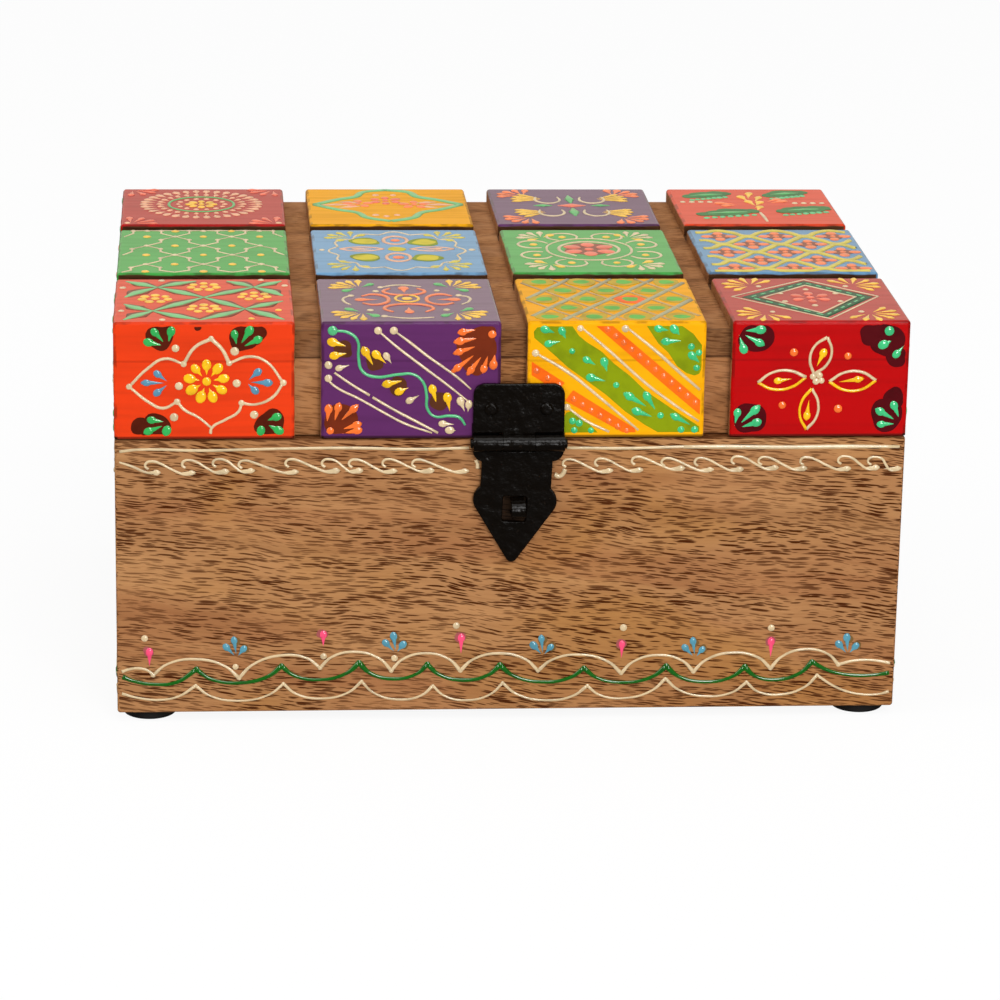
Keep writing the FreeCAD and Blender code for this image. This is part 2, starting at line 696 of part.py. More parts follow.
front_panel()
back_panel()
side_panel("left_panel", turn=-90)
side_panel("right_panel", turn=90)
bottom_panel()
for end, end_name in ((-1, "front"), (1, "back")):
    for side, side_name in ((-1, "left"), (1, "right")):
        foot(f"foot_{end_name}_{side_name}", side, end)
lid_top_board()
lid_rails()
back_hinge("left_hinge", side=-1)
back_hinge("right_hinge", side=1)
nail_group(
    "hinge_box_nails", "hinge", hinge_nail_spots(f"{SEAM} - dims.hinge_nail_up"), turn=180)
nail_group(
    "hinge_lid_nails", "hinge", hinge_nail_spots(f"{SEAM} + dims.hinge_nail_up"), turn=180)
hasp()
nail_group(
    "hasp_nails", "hasp",
    [(f"dims.hasp_offset + {side} * dims.hasp_nail_out", f"{HASP_AXIS} + dims.hasp_nail_up")
     for side in (-1, 1)],
    turn=0)
hasp_staple()

doc.recompute()
for item in doc.Objects:
    if "Invalid" in item.State or "Error" in item.State:
        raise RuntimeError(f"{item.Name} failed: {item.State}")
for piece in pieces:
    if piece.Shape.isNull() or not piece.Shape.isValid():
        raise RuntimeError(f"{piece.Label} has no valid shape")

os.makedirs("parts", exist_ok=True)
for piece in pieces:
    piece.Shape.exportStep(f"parts/{piece.Label}.step")
    print(piece.Label, len(piece.Shape.Solids), round(piece.Shape.Volume, 1))
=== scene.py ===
# %% [markdown]
# # A painted keepsake box
# The box is plain mango wood with a lid cut into twelve raised blocks. Every block has its own bright
# colour, and a painter has laid raised drops, dots and lines of thick paint over the blocks and walls.
# The wooden boards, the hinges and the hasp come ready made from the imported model. This lesson lights
# them, gives each one its finish, and then paints the ornament as real, raised geometry.

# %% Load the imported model
import math
import random

import bpy
from mathutils import Matrix, Vector


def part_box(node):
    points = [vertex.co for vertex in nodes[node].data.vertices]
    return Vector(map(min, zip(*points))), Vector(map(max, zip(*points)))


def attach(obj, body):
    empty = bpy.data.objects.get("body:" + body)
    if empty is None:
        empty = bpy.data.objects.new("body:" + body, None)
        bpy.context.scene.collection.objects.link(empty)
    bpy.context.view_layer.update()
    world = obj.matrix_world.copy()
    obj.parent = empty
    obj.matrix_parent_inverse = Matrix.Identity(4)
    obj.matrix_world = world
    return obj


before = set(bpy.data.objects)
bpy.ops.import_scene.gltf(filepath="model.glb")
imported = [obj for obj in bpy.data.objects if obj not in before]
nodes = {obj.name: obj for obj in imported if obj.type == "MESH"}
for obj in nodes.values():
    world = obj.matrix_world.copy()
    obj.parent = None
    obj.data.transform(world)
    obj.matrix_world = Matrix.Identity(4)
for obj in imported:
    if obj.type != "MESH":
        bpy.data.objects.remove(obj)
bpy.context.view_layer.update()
MM = 0.001
hand = random.Random(12)
scene = bpy.context.scene
scene.view_settings.view_transform = "Standard"
print("CAD nodes:", len(nodes))

# %% [markdown]
# The camera stands where the photographer stood: about a metre away, a little left of the middle and
# looking down at the lid. A long lens keeps the edges of the box almost parallel. The three angles turn
# into a right, an up and a forward direction, and these are the columns of the camera's matrix.

# %% Camera
LENS_MM, SENSOR_MM = 142.86, 36
STAND_MM = (-78.95, -1047.94, 361.45)
YAW, PITCH, ROLL = (math.radians(angle) for angle in (4.468, 17.197, 1.002))

forward = Vector((math.sin(YAW) * math.cos(PITCH), math.cos(YAW) * math.cos(PITCH), -math.sin(PITCH)))
level = Vector((math.cos(YAW), -math.sin(YAW), 0))
right = math.cos(ROLL) * level + math.sin(ROLL) * level.cross(forward)
turn = Matrix((right, right.cross(forward), -forward)).transposed().to_4x4()

bpy.ops.object.camera_add()
camera = bpy.context.object
camera.name = "photo_camera"
camera.data.lens = LENS_MM
camera.data.sensor_width = SENSOR_MM
camera.data.clip_start = 0.05
camera.matrix_world = Matrix.Translation(Vector(STAND_MM) * MM) @ turn
scene.camera = camera
print("camera looks along", [round(c, 3) for c in forward])

# %% [markdown]
# Shader sums are easier to read as arithmetic. A Flow is one socket of a material: adding, subtracting
# or multiplying flows adds Math nodes, and its one node method adds any other node.

# %% Shader arithmetic
class Flow:
    """One output socket. Arithmetic on flows adds Math nodes to their tree."""

    def __init__(self, tree, socket=None):
        self.tree = tree
        self.socket = socket

    def node(self, kind, sockets=(), settings=(), stops=(), out=0):
        """Adds a node: its settings first, then a ramp's stops, then the values or links of its sockets."""
        made = self.tree.nodes.new(kind)
        for name, setting in dict(settings).items():
            setattr(made, name, setting)
        if stops:
            ramp = made.color_ramp
            while len(ramp.elements) < len(stops):
                ramp.elements.new(1)
            for element, (place, colour) in zip(ramp.elements, stops):
                element.position = place
                element.color = colour
        for name, given in dict(sockets).items():
            if isinstance(given, Flow):
                self.tree.links.new(given.socket, made.inputs[name])
            else:
                made.inputs[name].default_value = given
        return Flow(self.tree, made.outputs[out] if made.outputs else None)

    def maths(self, operation, first, second=0.0):
        return self.node("ShaderNodeMath", {0: first, 1: second}, {"operation": operation})

    def __add__(self, other):
        return self.maths("ADD", self, other)

    def __sub__(self, other):
        return self.maths("SUBTRACT", self, other)

    def __rsub__(self, other):
        return self.maths("SUBTRACT", other, self)

    def __mul__(self, other):
        return self.maths("MULTIPLY", self, other)

    def least(self, other):
        return self.maths("MINIMUM", self, other)

    def most(self, other):
        return self.maths("MAXIMUM", self, other)

    def size(self):
        return self.maths("ABSOLUTE", self)

    def between(self, low, high):
        """A soft step: 0 at low, 1 at high."""
        sockets = {"Value": self, "From Min": low, "From Max": high}
        return self.node("ShaderNodeMapRange", sockets, {"interpolation_type": "SMOOTHSTEP"})

    def mix(self, first, second):
        """Two colours, mixed by this flow."""
        sockets = {"Factor": self, 6: first, 7: second}
        return self.node("ShaderNodeMix", sockets, {"data_type": "RGBA"}, out=2)

    __radd__ = __add__
    __rmul__ = __mul__


def colour(red, green, blue):
    """A screen colour, 0 to 255, as the linear colour that a shader wants."""
    shares = (channel / 255 for channel in (red, green, blue))
    return tuple(s / 12.92 if s <= 0.04045 else ((s + 0.055) / 1.055) ** 2.4 for s in shares) + (1.0,)


def new_finish(name):
    """An empty material and the flow that its nodes start from."""
    material = bpy.data.materials.new(name)
    material.use_nodes = True
    material.node_tree.nodes.clear()
    return material, Flow(material.node_tree)


def close_finish(start, **looks):
    """Puts a Principled shader on the end. An underscore in a name stands for a space."""
    sockets = {name.replace("_", " "): value for name, value in looks.items()}
    shader = start.node("ShaderNodeBsdfPrincipled", sockets)
    start.node("ShaderNodeOutputMaterial", {"Surface": shader})


def place_of(start):
    """The point on the object, in metres, and its three numbers in millimetres."""
    point = start.node("ShaderNodeTexCoord", out=3)
    split = start.node("ShaderNodeSeparateXYZ", {0: point}).socket.node
    return point, [Flow(start.tree, socket) * 1000 for socket in split.outputs]


def stretch(point, scale, turned=False):
    """The place, stretched by a scale for each direction; turned swaps the scales of X and Y."""
    along, across, upright = scale
    scales = (across, along, upright) if turned else scale
    return point.node("ShaderNodeMapping", {"Vector": point, "Scale": scales})


def noise(point, scale, detail=2.0, distortion=0.0, turned=False):
    """Cloudy noise."""
    place = stretch(point, scale, turned)
    sockets = {"Vector": place, "Scale": 1.0, "Detail": detail, "Distortion": distortion}
    return point.node("ShaderNodeTexNoise", sockets)


def specks(point, scale, turned=False):
    """How far off the nearest of many scattered points is."""
    return point.node("ShaderNodeTexVoronoi", {"Vector": stretch(point, scale, turned), "Scale": 1.0})


def bump(height, depth, strength=1.0):
    """The small relief of a surface; the depth is in millimetres."""
    sockets = {"Height": height, "Distance": depth * MM, "Strength": strength}
    return height.node("ShaderNodeBump", sockets)


print("shader arithmetic ready")

# %% [markdown]
# Mango wood is tan with pinkish and golden clouds, and its pores show as short dark dashes along the
# grain, a few millimetres long and under half a millimetre wide. The dashes could be an image, but a
# scatter of points gives them at any size: in a space that is stretched along the grain, a dash is all
# that lies near a point. The grain runs a little downhill, and a slow wave bends it. In a side wall it runs
# along Y, so there X and Y change places. The oil on the wood is thin, so its gloss is kept low. The upper
# edge of the walls is painted dark as the shade of the gap under the lid. Behind the hasp's strap the front
# is painted black: a stain of its black paint, and painted shade in the strap's slot.

# %% Mango wood
TAN, GOLD, ROSY = colour(175, 127, 82), colour(169, 118, 60), colour(160, 109, 69)
STREAK, PORE_AND_SHADE, STAIN_AND_SHADE = colour(102, 55, 25), colour(68, 28, 2), colour(12, 9, 7)
DOWNHILL = 0.00009


def mango(point, run, turned=False):
    """The colour, the pores and the relief of bare mango wood; run is how far along the board we are."""
    sway = noise(point, (13, 13, 26), 2.0, turned=turned) - 0.5
    ripple = noise(point, (90, 90, 70), 1.0, turned=turned) - 0.5
    lift = point.node("ShaderNodeCombineXYZ", {2: sway * 0.008 + ripple * 0.0014 + run * DOWNHILL})
    grain = point.node("ShaderNodeVectorMath", {0: point, 1: lift}, {"operation": "ADD"})
    clouds = noise(grain, (8, 75, 75), 3.0, 0.6, turned).between(0.36, 0.66)
    patches = noise(point, (18, 34, 34), 2.0, 0.4, turned).between(0.46, 0.72)
    bands = noise(grain, (7, 190, 190), 2.0, 0.3, turned).between(0.52, 0.74)
    fibre = noise(grain, (60, 1900, 1900), 3.0, turned=turned)
    dashes = 1 - specks(grain, (130, 1650, 1650), turned).between(0.28, 0.44)
    short = 1 - specks(grain, (230, 2100, 2100), turned).between(0.25, 0.40)
    crowd = noise(grain, (24, 120, 120), 2.0, turned=turned).between(0.34, 0.60)
    pores = (dashes * (0.65 + 0.35 * crowd)).most(short * (0.45 + 0.50 * crowd))
    body = clouds.mix(TAN, ROSY)
    body = (patches * 0.6).mix(body, GOLD)
    body = (bands * 0.28).mix(body, STREAK)
    body = (crowd * 0.16).mix(body, STREAK)
    body = (fibre.between(0.42, 0.75) * 0.22).mix(body, STREAK)
    return pores.mix(body, PORE_AND_SHADE), pores, fibre * 0.5 - pores


def wood_finish(name, turned=False, stained_and_shaded=False):
    """Bare wood for one kind of board; one stained and shaded gets black paint and painted shade behind the
    hasp.
    """
    material, start = new_finish(name)
    point, (x, y, z) = place_of(start)
    shade, pores, relief = mango(point, x + y, turned)
    # The upper edge of the walls is painted dark: painted shade of the gap under the lid.
    rim_shade = z.between(WALL_RIM - 0.7, WALL_RIM - 0.2)
    shade = (rim_shade * 0.6).mix(shade, PORE_AND_SHADE)
    if stained_and_shaded:
        # Behind the strap the front is painted near black: a stain of the hasp's black paint and painted
        # shade in the strap's slot.
        away_x, away_z = (x - STAIN_SHADE_X) * (1 / STAIN_SHADE_WIDE), (z - STAIN_SHADE_Z) * (1 / STAIN_SHADE_HIGH)
        away = away_x * away_x + away_z * away_z + 0.8 * noise(point, (300, 300, 300), 2.0)
        shade = ((1 - away.between(0.9, 1.5)) * 0.93).mix(shade, STAIN_AND_SHADE)
    close_finish(
        start,
        Base_Color=shade,
        Roughness=0.50 + 0.22 * pores,
        Specular_IOR_Level=0.06,
        Normal=bump(relief, 0.12, 0.6),
    )
    return material


WALL_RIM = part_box("front_panel")[1].z / MM
strap_low, strap_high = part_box("hasp_strap")
STAIN_SHADE_X = (strap_low.x + strap_high.x) / 2 / MM
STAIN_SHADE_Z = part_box("hasp_staple")[0].z / MM + 4.0
STAIN_SHADE_WIDE, STAIN_SHADE_HIGH = 5.5, 8.5
front_board = wood_finish("mango_wood_front", stained_and_shaded=True)
long_boards = wood_finish("mango_wood_long")
side_boards = wood_finish("mango_wood_side", turned=True)
nodes["front_panel"].data.materials[0] = front_board
for name in ("back_panel", "bottom_panel"):
    nodes[name].data.materials[0] = long_boards
for name in ("left_panel", "right_panel"):
    nodes[name].data.materials[0] = side_boards
print("stain behind the strap at", round(STAIN_SHADE_X, 1), round(STAIN_SHADE_Z, 1))

# %% [markdown]
# The lid is one grooved board on four grooved rails. Paint covers the outside of each block and stops
# part of the way down the groove walls, where the brush no longer reached. The depth below the lid's outer
# faces says which is which, so one material serves all five boards. The block's colour is picked by place:
# a ramp with hard steps along X for each row, and the row by Y. A varnish coat over the paint mirrors the
# white room, so the tops look paler than the fronts from low down, as they do in a real room. Some blocks
# have more varnish than others: a stop's fourth number, which the ramp hands out as alpha, says how much,
# and the upright sides get a third of it. The edges are worn.

# %% Lid paint
lid_low, lid_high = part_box("lid_top_board")
HALF_X, HALF_Y, LID_TOP = (size / MM for size in (lid_high.x, lid_high.y, lid_high.z))
LID_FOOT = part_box("lid_front_rail")[0].z / MM
COLUMN_GROOVE, ROW_GROOVE, MIDDLE_ROW = 6.6, 5.8, 50.0
BLOCK_X = (2 * HALF_X - 3 * COLUMN_GROOVE) / 4
PITCH_X = BLOCK_X + COLUMN_GROOVE
ROW_AT = (MIDDLE_ROW + ROW_GROOVE) / 2
OUTER_ROW = HALF_Y - MIDDLE_ROW / 2 - ROW_GROOVE

ORANGE_RED, PURPLE, YELLOW = colour(220, 58, 16), colour(90, 40, 92), colour(240, 166, 4)
DEEP_RED, LEAF_GREEN = colour(176, 0, 2), colour(60, 162, 66)
SKY_BLUE, MID_BLUE = colour(106, 154, 192), colour(96, 144, 182)
BLOCKS = (
    ((ORANGE_RED, 0.55), (PURPLE, 1.0), (YELLOW, 0.1), (DEEP_RED, 0.65)),
    ((LEAF_GREEN, 0.6), (SKY_BLUE, 0.6), (LEAF_GREEN, 0.65), (MID_BLUE, 0.6)),
    ((DEEP_RED, 0.55), (YELLOW, 0.1), (PURPLE, 0.7), (ORANGE_RED, 0.5)),
)
VARNISH_IOR, SIDE_SHARE = 1.25, 0.35
BRUSH_DARK, JOINT_DARK, WORN_AND_SHADE_BROWN = colour(24, 6, 6), colour(20, 6, 6), colour(40, 16, 8)
FADED_WOOD, PALE_WOOD = colour(166, 112, 70), colour(178, 130, 90)
GRIME, SHADE_AND_JOINT_DARK, HASP_BLACK_AND_SHADE = colour(88, 54, 31), colour(44, 22, 12), colour(10, 8, 7)
JOINT_Z = lid_low.z / MM
PAINT_REACH, SHADE_AND_JOINT_REACH, FADE_REACH = (0.8, 1.2), (4.5, 5.0), (3.8, 8.0)

lid_finish, start = new_finish("painted_block_wood")
point, (x, y, z) = place_of(start)
across = (x + 2 * PITCH_X) * (1 / (4 * PITCH_X))
painted = varnish = None
for row, blocks in enumerate(BLOCKS):
    stops = [(column / 4, (*shade[:3], coat)) for column, (shade, coat) in enumerate(blocks)]
    ramp = start.node("ShaderNodeValToRGB", {"Fac": across}, stops=stops)
    ramp.socket.node.color_ramp.interpolation = "CONSTANT"
    coat = Flow(start.tree, ramp.socket.node.outputs["Alpha"])
    if row == 0:
        painted, varnish = ramp, coat
    else:
        border = (2 * row - 3) * ROW_AT
        behind = y.between(border - 0.1, border + 0.1)
        painted, varnish = behind.mix(painted, ramp), varnish + behind * (coat - varnish)

brush = noise(point, (28, 480, 480), 3.0)
thin = noise(point, (55, 55, 55), 3.0).between(0.40, 0.75)
painted = (brush.between(0.40, 0.80) * 0.14 + thin * 0.08).mix(painted, BRUSH_DARK)
glue_line = 1 - (z - JOINT_Z).size().between(0.1, 0.5)
painted = (glue_line * 0.22).mix(painted, JOINT_DARK)
inward = (HALF_X - x.size()).least(HALF_Y - y.size())
rubbed = noise(point, (160, 160, 160), 3.0).between(0.45, 0.60)
worn = ((LID_TOP - z) * inward).between(0.01, 0.06) * rubbed
# The lid's lower edge is painted dark brown as painted shade of the gap over the walls; the same brown marks
# real wear on the top edges.
foot = 1 - (z - LID_FOOT).between(0.3, 0.8)
painted = (worn * 0.45 + foot * 0.75).mix(painted, WORN_AND_SHADE_BROWN)
depth = (LID_TOP - z).least(inward)
upper = z.between(LID_TOP - 1.0, LID_TOP - 0.5)
bare = (depth + noise(point, (130, 130, 130), 2.0)).between(*PAINT_REACH)
print("block width", round(BLOCK_X, 2), "outer row depth", round(OUTER_ROW, 2))

# %% [markdown]
# The bare wood in the grooves never had oil. It has faded in patches and gathered grime. The narrow grooves
# between the rows are painted darker still as their shade, and the front edge of the top board is darker.
# Deep inside the lid the wood is as fresh as that of the walls. Round the hasp the lid is painted black: the
# same black that covers the hasp, brushed over the gap round it, and painted shade in the slit between the
# leaf and the barrel, so there it lies on paint and bare wood alike.

# %% Wood in the grooves
groove_wood, pores, relief = mango(point, x + y)
weathered = 1 - depth.between(*FADE_REACH)
groove_wood = ((0.55 - 0.2 * pores) * weathered).mix(groove_wood, FADED_WOOD)
pale = noise(point, (60, 60, 90), 3.0).between(0.48, 0.66)
groove_wood = (pale * 0.5 * weathered).mix(groove_wood, PALE_WOOD)
grime = noise(point, (85, 85, 130), 3.0, 0.6).between(0.52, 0.72)
groove_wood = (grime * 0.45 * weathered).mix(groove_wood, GRIME)
shifted = across * 4 + 0.5
to_groove = (shifted.maths("FRACT", shifted) - 0.5).size() * PITCH_X
# The narrow grooves between the rows are painted dark as shade; the glue line and the front edge of the top
# board are darkened with them.
row_groove = 1 - (y.size() - ROW_AT).size().between(3.2, 3.6)
row_groove_shade = row_groove * to_groove.between(COLUMN_GROOVE / 2 - 0.3, COLUMN_GROOVE / 2)
front_edge = z.between(JOINT_Z - 0.1, JOINT_Z + 0.1) * (1 - (y + HALF_Y).between(4.0, 6.0))
shade_and_joints = (row_groove_shade * 0.85).most(front_edge * 0.4 + glue_line * 0.5) * (1 - depth.between(*SHADE_AND_JOINT_REACH))
groove_wood = shade_and_joints.mix(groove_wood, SHADE_AND_JOINT_DARK)
shade = bare.mix(painted, groove_wood)
hasp_low, hasp_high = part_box("hasp_leaf")
HASP_X = (hasp_low.x + hasp_high.x) / 2 / MM
SMEAR_SHADE_WIDE, SMEAR_SHADE_HIGH = (hasp_high.x - hasp_low.x) / 2 / MM, LID_FOOT + 3.6
# Behind the hasp's leaf the lid is painted black: the hasp's black paint brushed over, and painted shade in
# the slit between the leaf and the barrel.
smear_and_shade = 1 - (x - HASP_X).size().between(SMEAR_SHADE_WIDE, SMEAR_SHADE_WIDE + 0.5)
smear_and_shade = smear_and_shade * (1 - z.between(SMEAR_SHADE_HIGH, SMEAR_SHADE_HIGH + 0.4)) * (1 - y.between(1 - HALF_Y, 2 - HALF_Y))
shade = smear_and_shade.mix(shade, HASP_BLACK_AND_SHADE)
close_finish(
    start,
    Base_Color=shade,
    Roughness=0.34 + 0.24 * bare + 0.16 * brush,
    Specular_IOR_Level=0.04,
    Normal=bump(brush * 0.6 + relief * bare, 0.10, 0.5),
    Coat_Weight=varnish * (1 - bare) * (SIDE_SHARE + (1 - SIDE_SHARE) * upper),
    Coat_Roughness=0.18,
    Coat_IOR=VARNISH_IOR,
)
for name in ("lid_top_board", "lid_front_rail", "lid_back_rail", "lid_left_rail", "lid_right_rail"):
    nodes[name].data.materials[0] = lid_finish
print("lid boards finished")

# %% [markdown]
# The iron is painted black with a brush, glossy and a little lumpy, and worn grey in specks. The feet are
# plain black rubber with some dust.

# %% Iron and rubber
IRON_BLACK, IRON_GREY = colour(10, 6, 3), colour(44, 34, 26)
RUBBER_BLACK, DUST_GREY = colour(16, 15, 15), colour(30, 28, 27)
iron, start = new_finish("black_iron")
point, _ = place_of(start)
lumps = noise(point, (300, 300, 300), 3.0)
worn = noise(point, (900, 900, 900), 4.0).between(0.66, 0.74)
close_finish(
    start,
    Base_Color=(worn * 0.3).mix(IRON_BLACK, IRON_GREY),
    Roughness=0.12 + 0.2 * lumps,
    Specular_IOR_Level=0.17,
    Normal=bump(lumps, 0.5, 0.7),
)
rubber, start = new_finish("foot_rubber")
point, _ = place_of(start)
dust = noise(point, (500, 500, 500), 3.0)
close_finish(
    start,
    Base_Color=dust.mix(RUBBER_BLACK, DUST_GREY),
    Roughness=0.62 + 0.2 * dust,
    Specular_IOR_Level=0.2,
)
iron_nodes = 0
for name, node in nodes.items():
    if name.startswith("foot_"):
        node.data.materials[0] = rubber
    elif "panel" not in name and not name.startswith("lid_"):
        node.data.materials[0] = iron
        iron_nodes += 1
print("black iron on", iron_nodes, "nodes")

# %% [markdown]
# The ornament is thick paint from a cone, so every mark stands up from the wood: dots, drops with a tail,
# and drawn lines. Under some of them lies a flat wash of darker paint. A bump map could fake this, but real
# geometry catches the light and keeps its shape in any view. Each paint is one material with a little
# unevenness, since hand-mixed paint is never one flat colour. Upright marks are glossy. On the tops the
# coat's weight falls to nothing at the height of the lid's top, and a painted sheen of pale white is mixed
# into the colour there instead.

# %% Paints
PAINTS = {
    "cream": (216, 192, 151),
    "yellow": (246, 190, 8),
    "leaf_green": (46, 172, 82),
    "pale_green": (92, 184, 108),
    "vine_green": (84, 186, 124),
    "wall_green": (2, 94, 6),
    "mint": (60, 192, 122),
    "orange": (244, 112, 38),
    "coral": (234, 92, 58),
    "peach": (232, 168, 128),
    "grey_blue": (88, 142, 168),
    "sky": (84, 150, 170),
    "pink": (250, 78, 122),
    "olive_line": (206, 186, 22),
    "grey_line": (150, 148, 104),
    "straw_line": (176, 138, 62),
    "brown_wash": (82, 24, 6),
    "maroon_wash": (78, 2, 10),
    "olive_wash": (130, 146, 2),
    "orange_wash": (250, 104, 14),
    "rust_wash": (110, 40, 15),
    "straw_wash": (192, 158, 28),
    "lemon_wash": (208, 190, 34),
    "umber_wash": (86, 46, 26),
    "taupe_wash": (150, 88, 70),
    "bottle_wash": (52, 90, 62),
    "rose_wash": (156, 82, 80),
    "sage_wash": (114, 88, 50),
    "moss_wash": (54, 122, 64),
    "grass_wash": (98, 180, 66),
}


def paint_finish(name, shade):
    """A gloss paint with slow unevenness; a wash is thinner and duller."""
    wash = name.endswith("_wash")
    material, start = new_finish(name)
    point, (_, _, z) = place_of(start)
    uneven = noise(point, (240, 240, 240), 2.0).between(0.40, 0.75)
    gloss = 1 - z.between(LID_TOP - 0.6, LID_TOP - 0.3)
    darker = (*[DARKER * share for share in shade[:3]], 1.0)
    skin = (uneven * 0.6).mix(shade, darker)
    if not wash:
        # On the tops a pale painted sheen is mixed into the colour, where the coat is taken away.
        skin = ((1 - gloss) * SHEEN_SHARE).mix(skin, SHEEN_WHITE)
    close_finish(
        start,
        Base_Color=skin,
        Roughness=0.45 if wash else 0.3,
        Specular_IOR_Level=0.04 if wash else 0.12,
        Coat_Weight=0.3 if wash else gloss,
        Coat_Roughness=0.2 if wash else 0.08,
        Coat_IOR=VARNISH_IOR if wash else GLOSS_IOR,
    )
    return material


GLOSS_IOR, DARKER = 1.8, 0.62
SHEEN_WHITE, SHEEN_SHARE = colour(250, 240, 222), 0.14
paints = {name: paint_finish(name, colour(*shade)) for name, shade in PAINTS.items()}
print("paints mixed:", len(paints))

# %% [markdown]
# A dot of paint is a low dome. It starts as a sphere, cut a little below its middle so that its rim sinks
# into the wood. A drop is the same dome drawn out: a taper along X makes one end wide and the other
# narrow, and a second, milder one draws out the tail. Both are modelled once, at a radius of one, and every
# mark is a copy that is stretched and turned.

# %% One dot and one drop
def only(*items):
    """Select these objects alone; the first is the active one."""
    bpy.ops.object.select_all(action="DESELECT")
    for item in items:
        item.select_set(True)
    bpy.context.view_layer.objects.active = items[0]


bpy.ops.object.select_all(action="DESELECT")
bpy.ops.mesh.primitive_uv_sphere_add(segments=12, ring_count=6, radius=1)
dome = bpy.context.object
dome.name = "dot_of_paint"
bpy.ops.object.mode_set(mode="EDIT")
bpy.ops.mesh.select_all(action="SELECT")
bpy.ops.mesh.bisect(plane_co=(0, 0, -0.2), plane_no=(0, 0, 1), use_fill=True, clear_inner=True)
bpy.ops.object.mode_set(mode="OBJECT")
bpy.ops.object.shade_smooth_by_angle(angle=math.radians(60))

bpy.ops.object.duplicate()
tear = bpy.context.object
tear.name = "drop_of_paint"
for factor in (1.4, 0.8):
    taper = tear.modifiers.new("tail", "SIMPLE_DEFORM")
    taper.deform_method = "TAPER"
    taper.deform_axis = "X"
    taper.factor = factor
    bpy.ops.object.modifier_apply(modifier="tail")
TEAR_HALF = max(vertex.co.y for vertex in tear.data.vertices)
TEAR_HEAD = max(tear.data.vertices, key=lambda vertex: vertex.co.y).co.x
print("faces:", len(dome.data.polygons), len(tear.data.polygons), "head at", round(TEAR_HEAD, 2))

# %% [markdown]
# A Face is one painted side of a block or a wall. It takes marks in millimetres from its middle, u to the
# right and v up as the painter sees it, and keeps each mark on the flat of the wood. Lines are Bezier curves
# with a round section, because a curve follows a hand's sweep with few points, and are then pressed flat: a
# wide one more than a thin one, so that no mark stands over a third of a millimetre high. When a face is
# done, its marks are joined into one piece and put in place.

# %% Painting on a face
LINE_RISE, PAINT_RISE, WASH_RISE = 0.48, 0.33, 0.05
TAIL = 0.72
WASH_EDGE, LAYER = 0.3, 0.004


def part_way(first, last, share):
    """The place at a share of the way from one place to another."""
    return tuple(a + (b - a) * share for a, b in zip(first, last))


def along(first, last, count):
    """Places evenly from one place to another."""
    return [part_way(first, last, step / (count - 1)) for step in range(count)]


def toward(middle, angle, reach, reach_v=None):
    """The place in the direction of an angle, in degrees, from a middle; an oval has a second reach."""
    turn = math.radians(angle)
    return middle[0] + reach * math.cos(turn), middle[1] + (reach_v or reach) * math.sin(turn)


def around(count, reach, turn=0.0, middle=(0.0, 0.0), reach_v=None):
    """Places evenly round a middle; the first lies at the turn, in degrees."""
    return [toward(middle, turn + 360 * step / count, reach, reach_v) for step in range(count)]


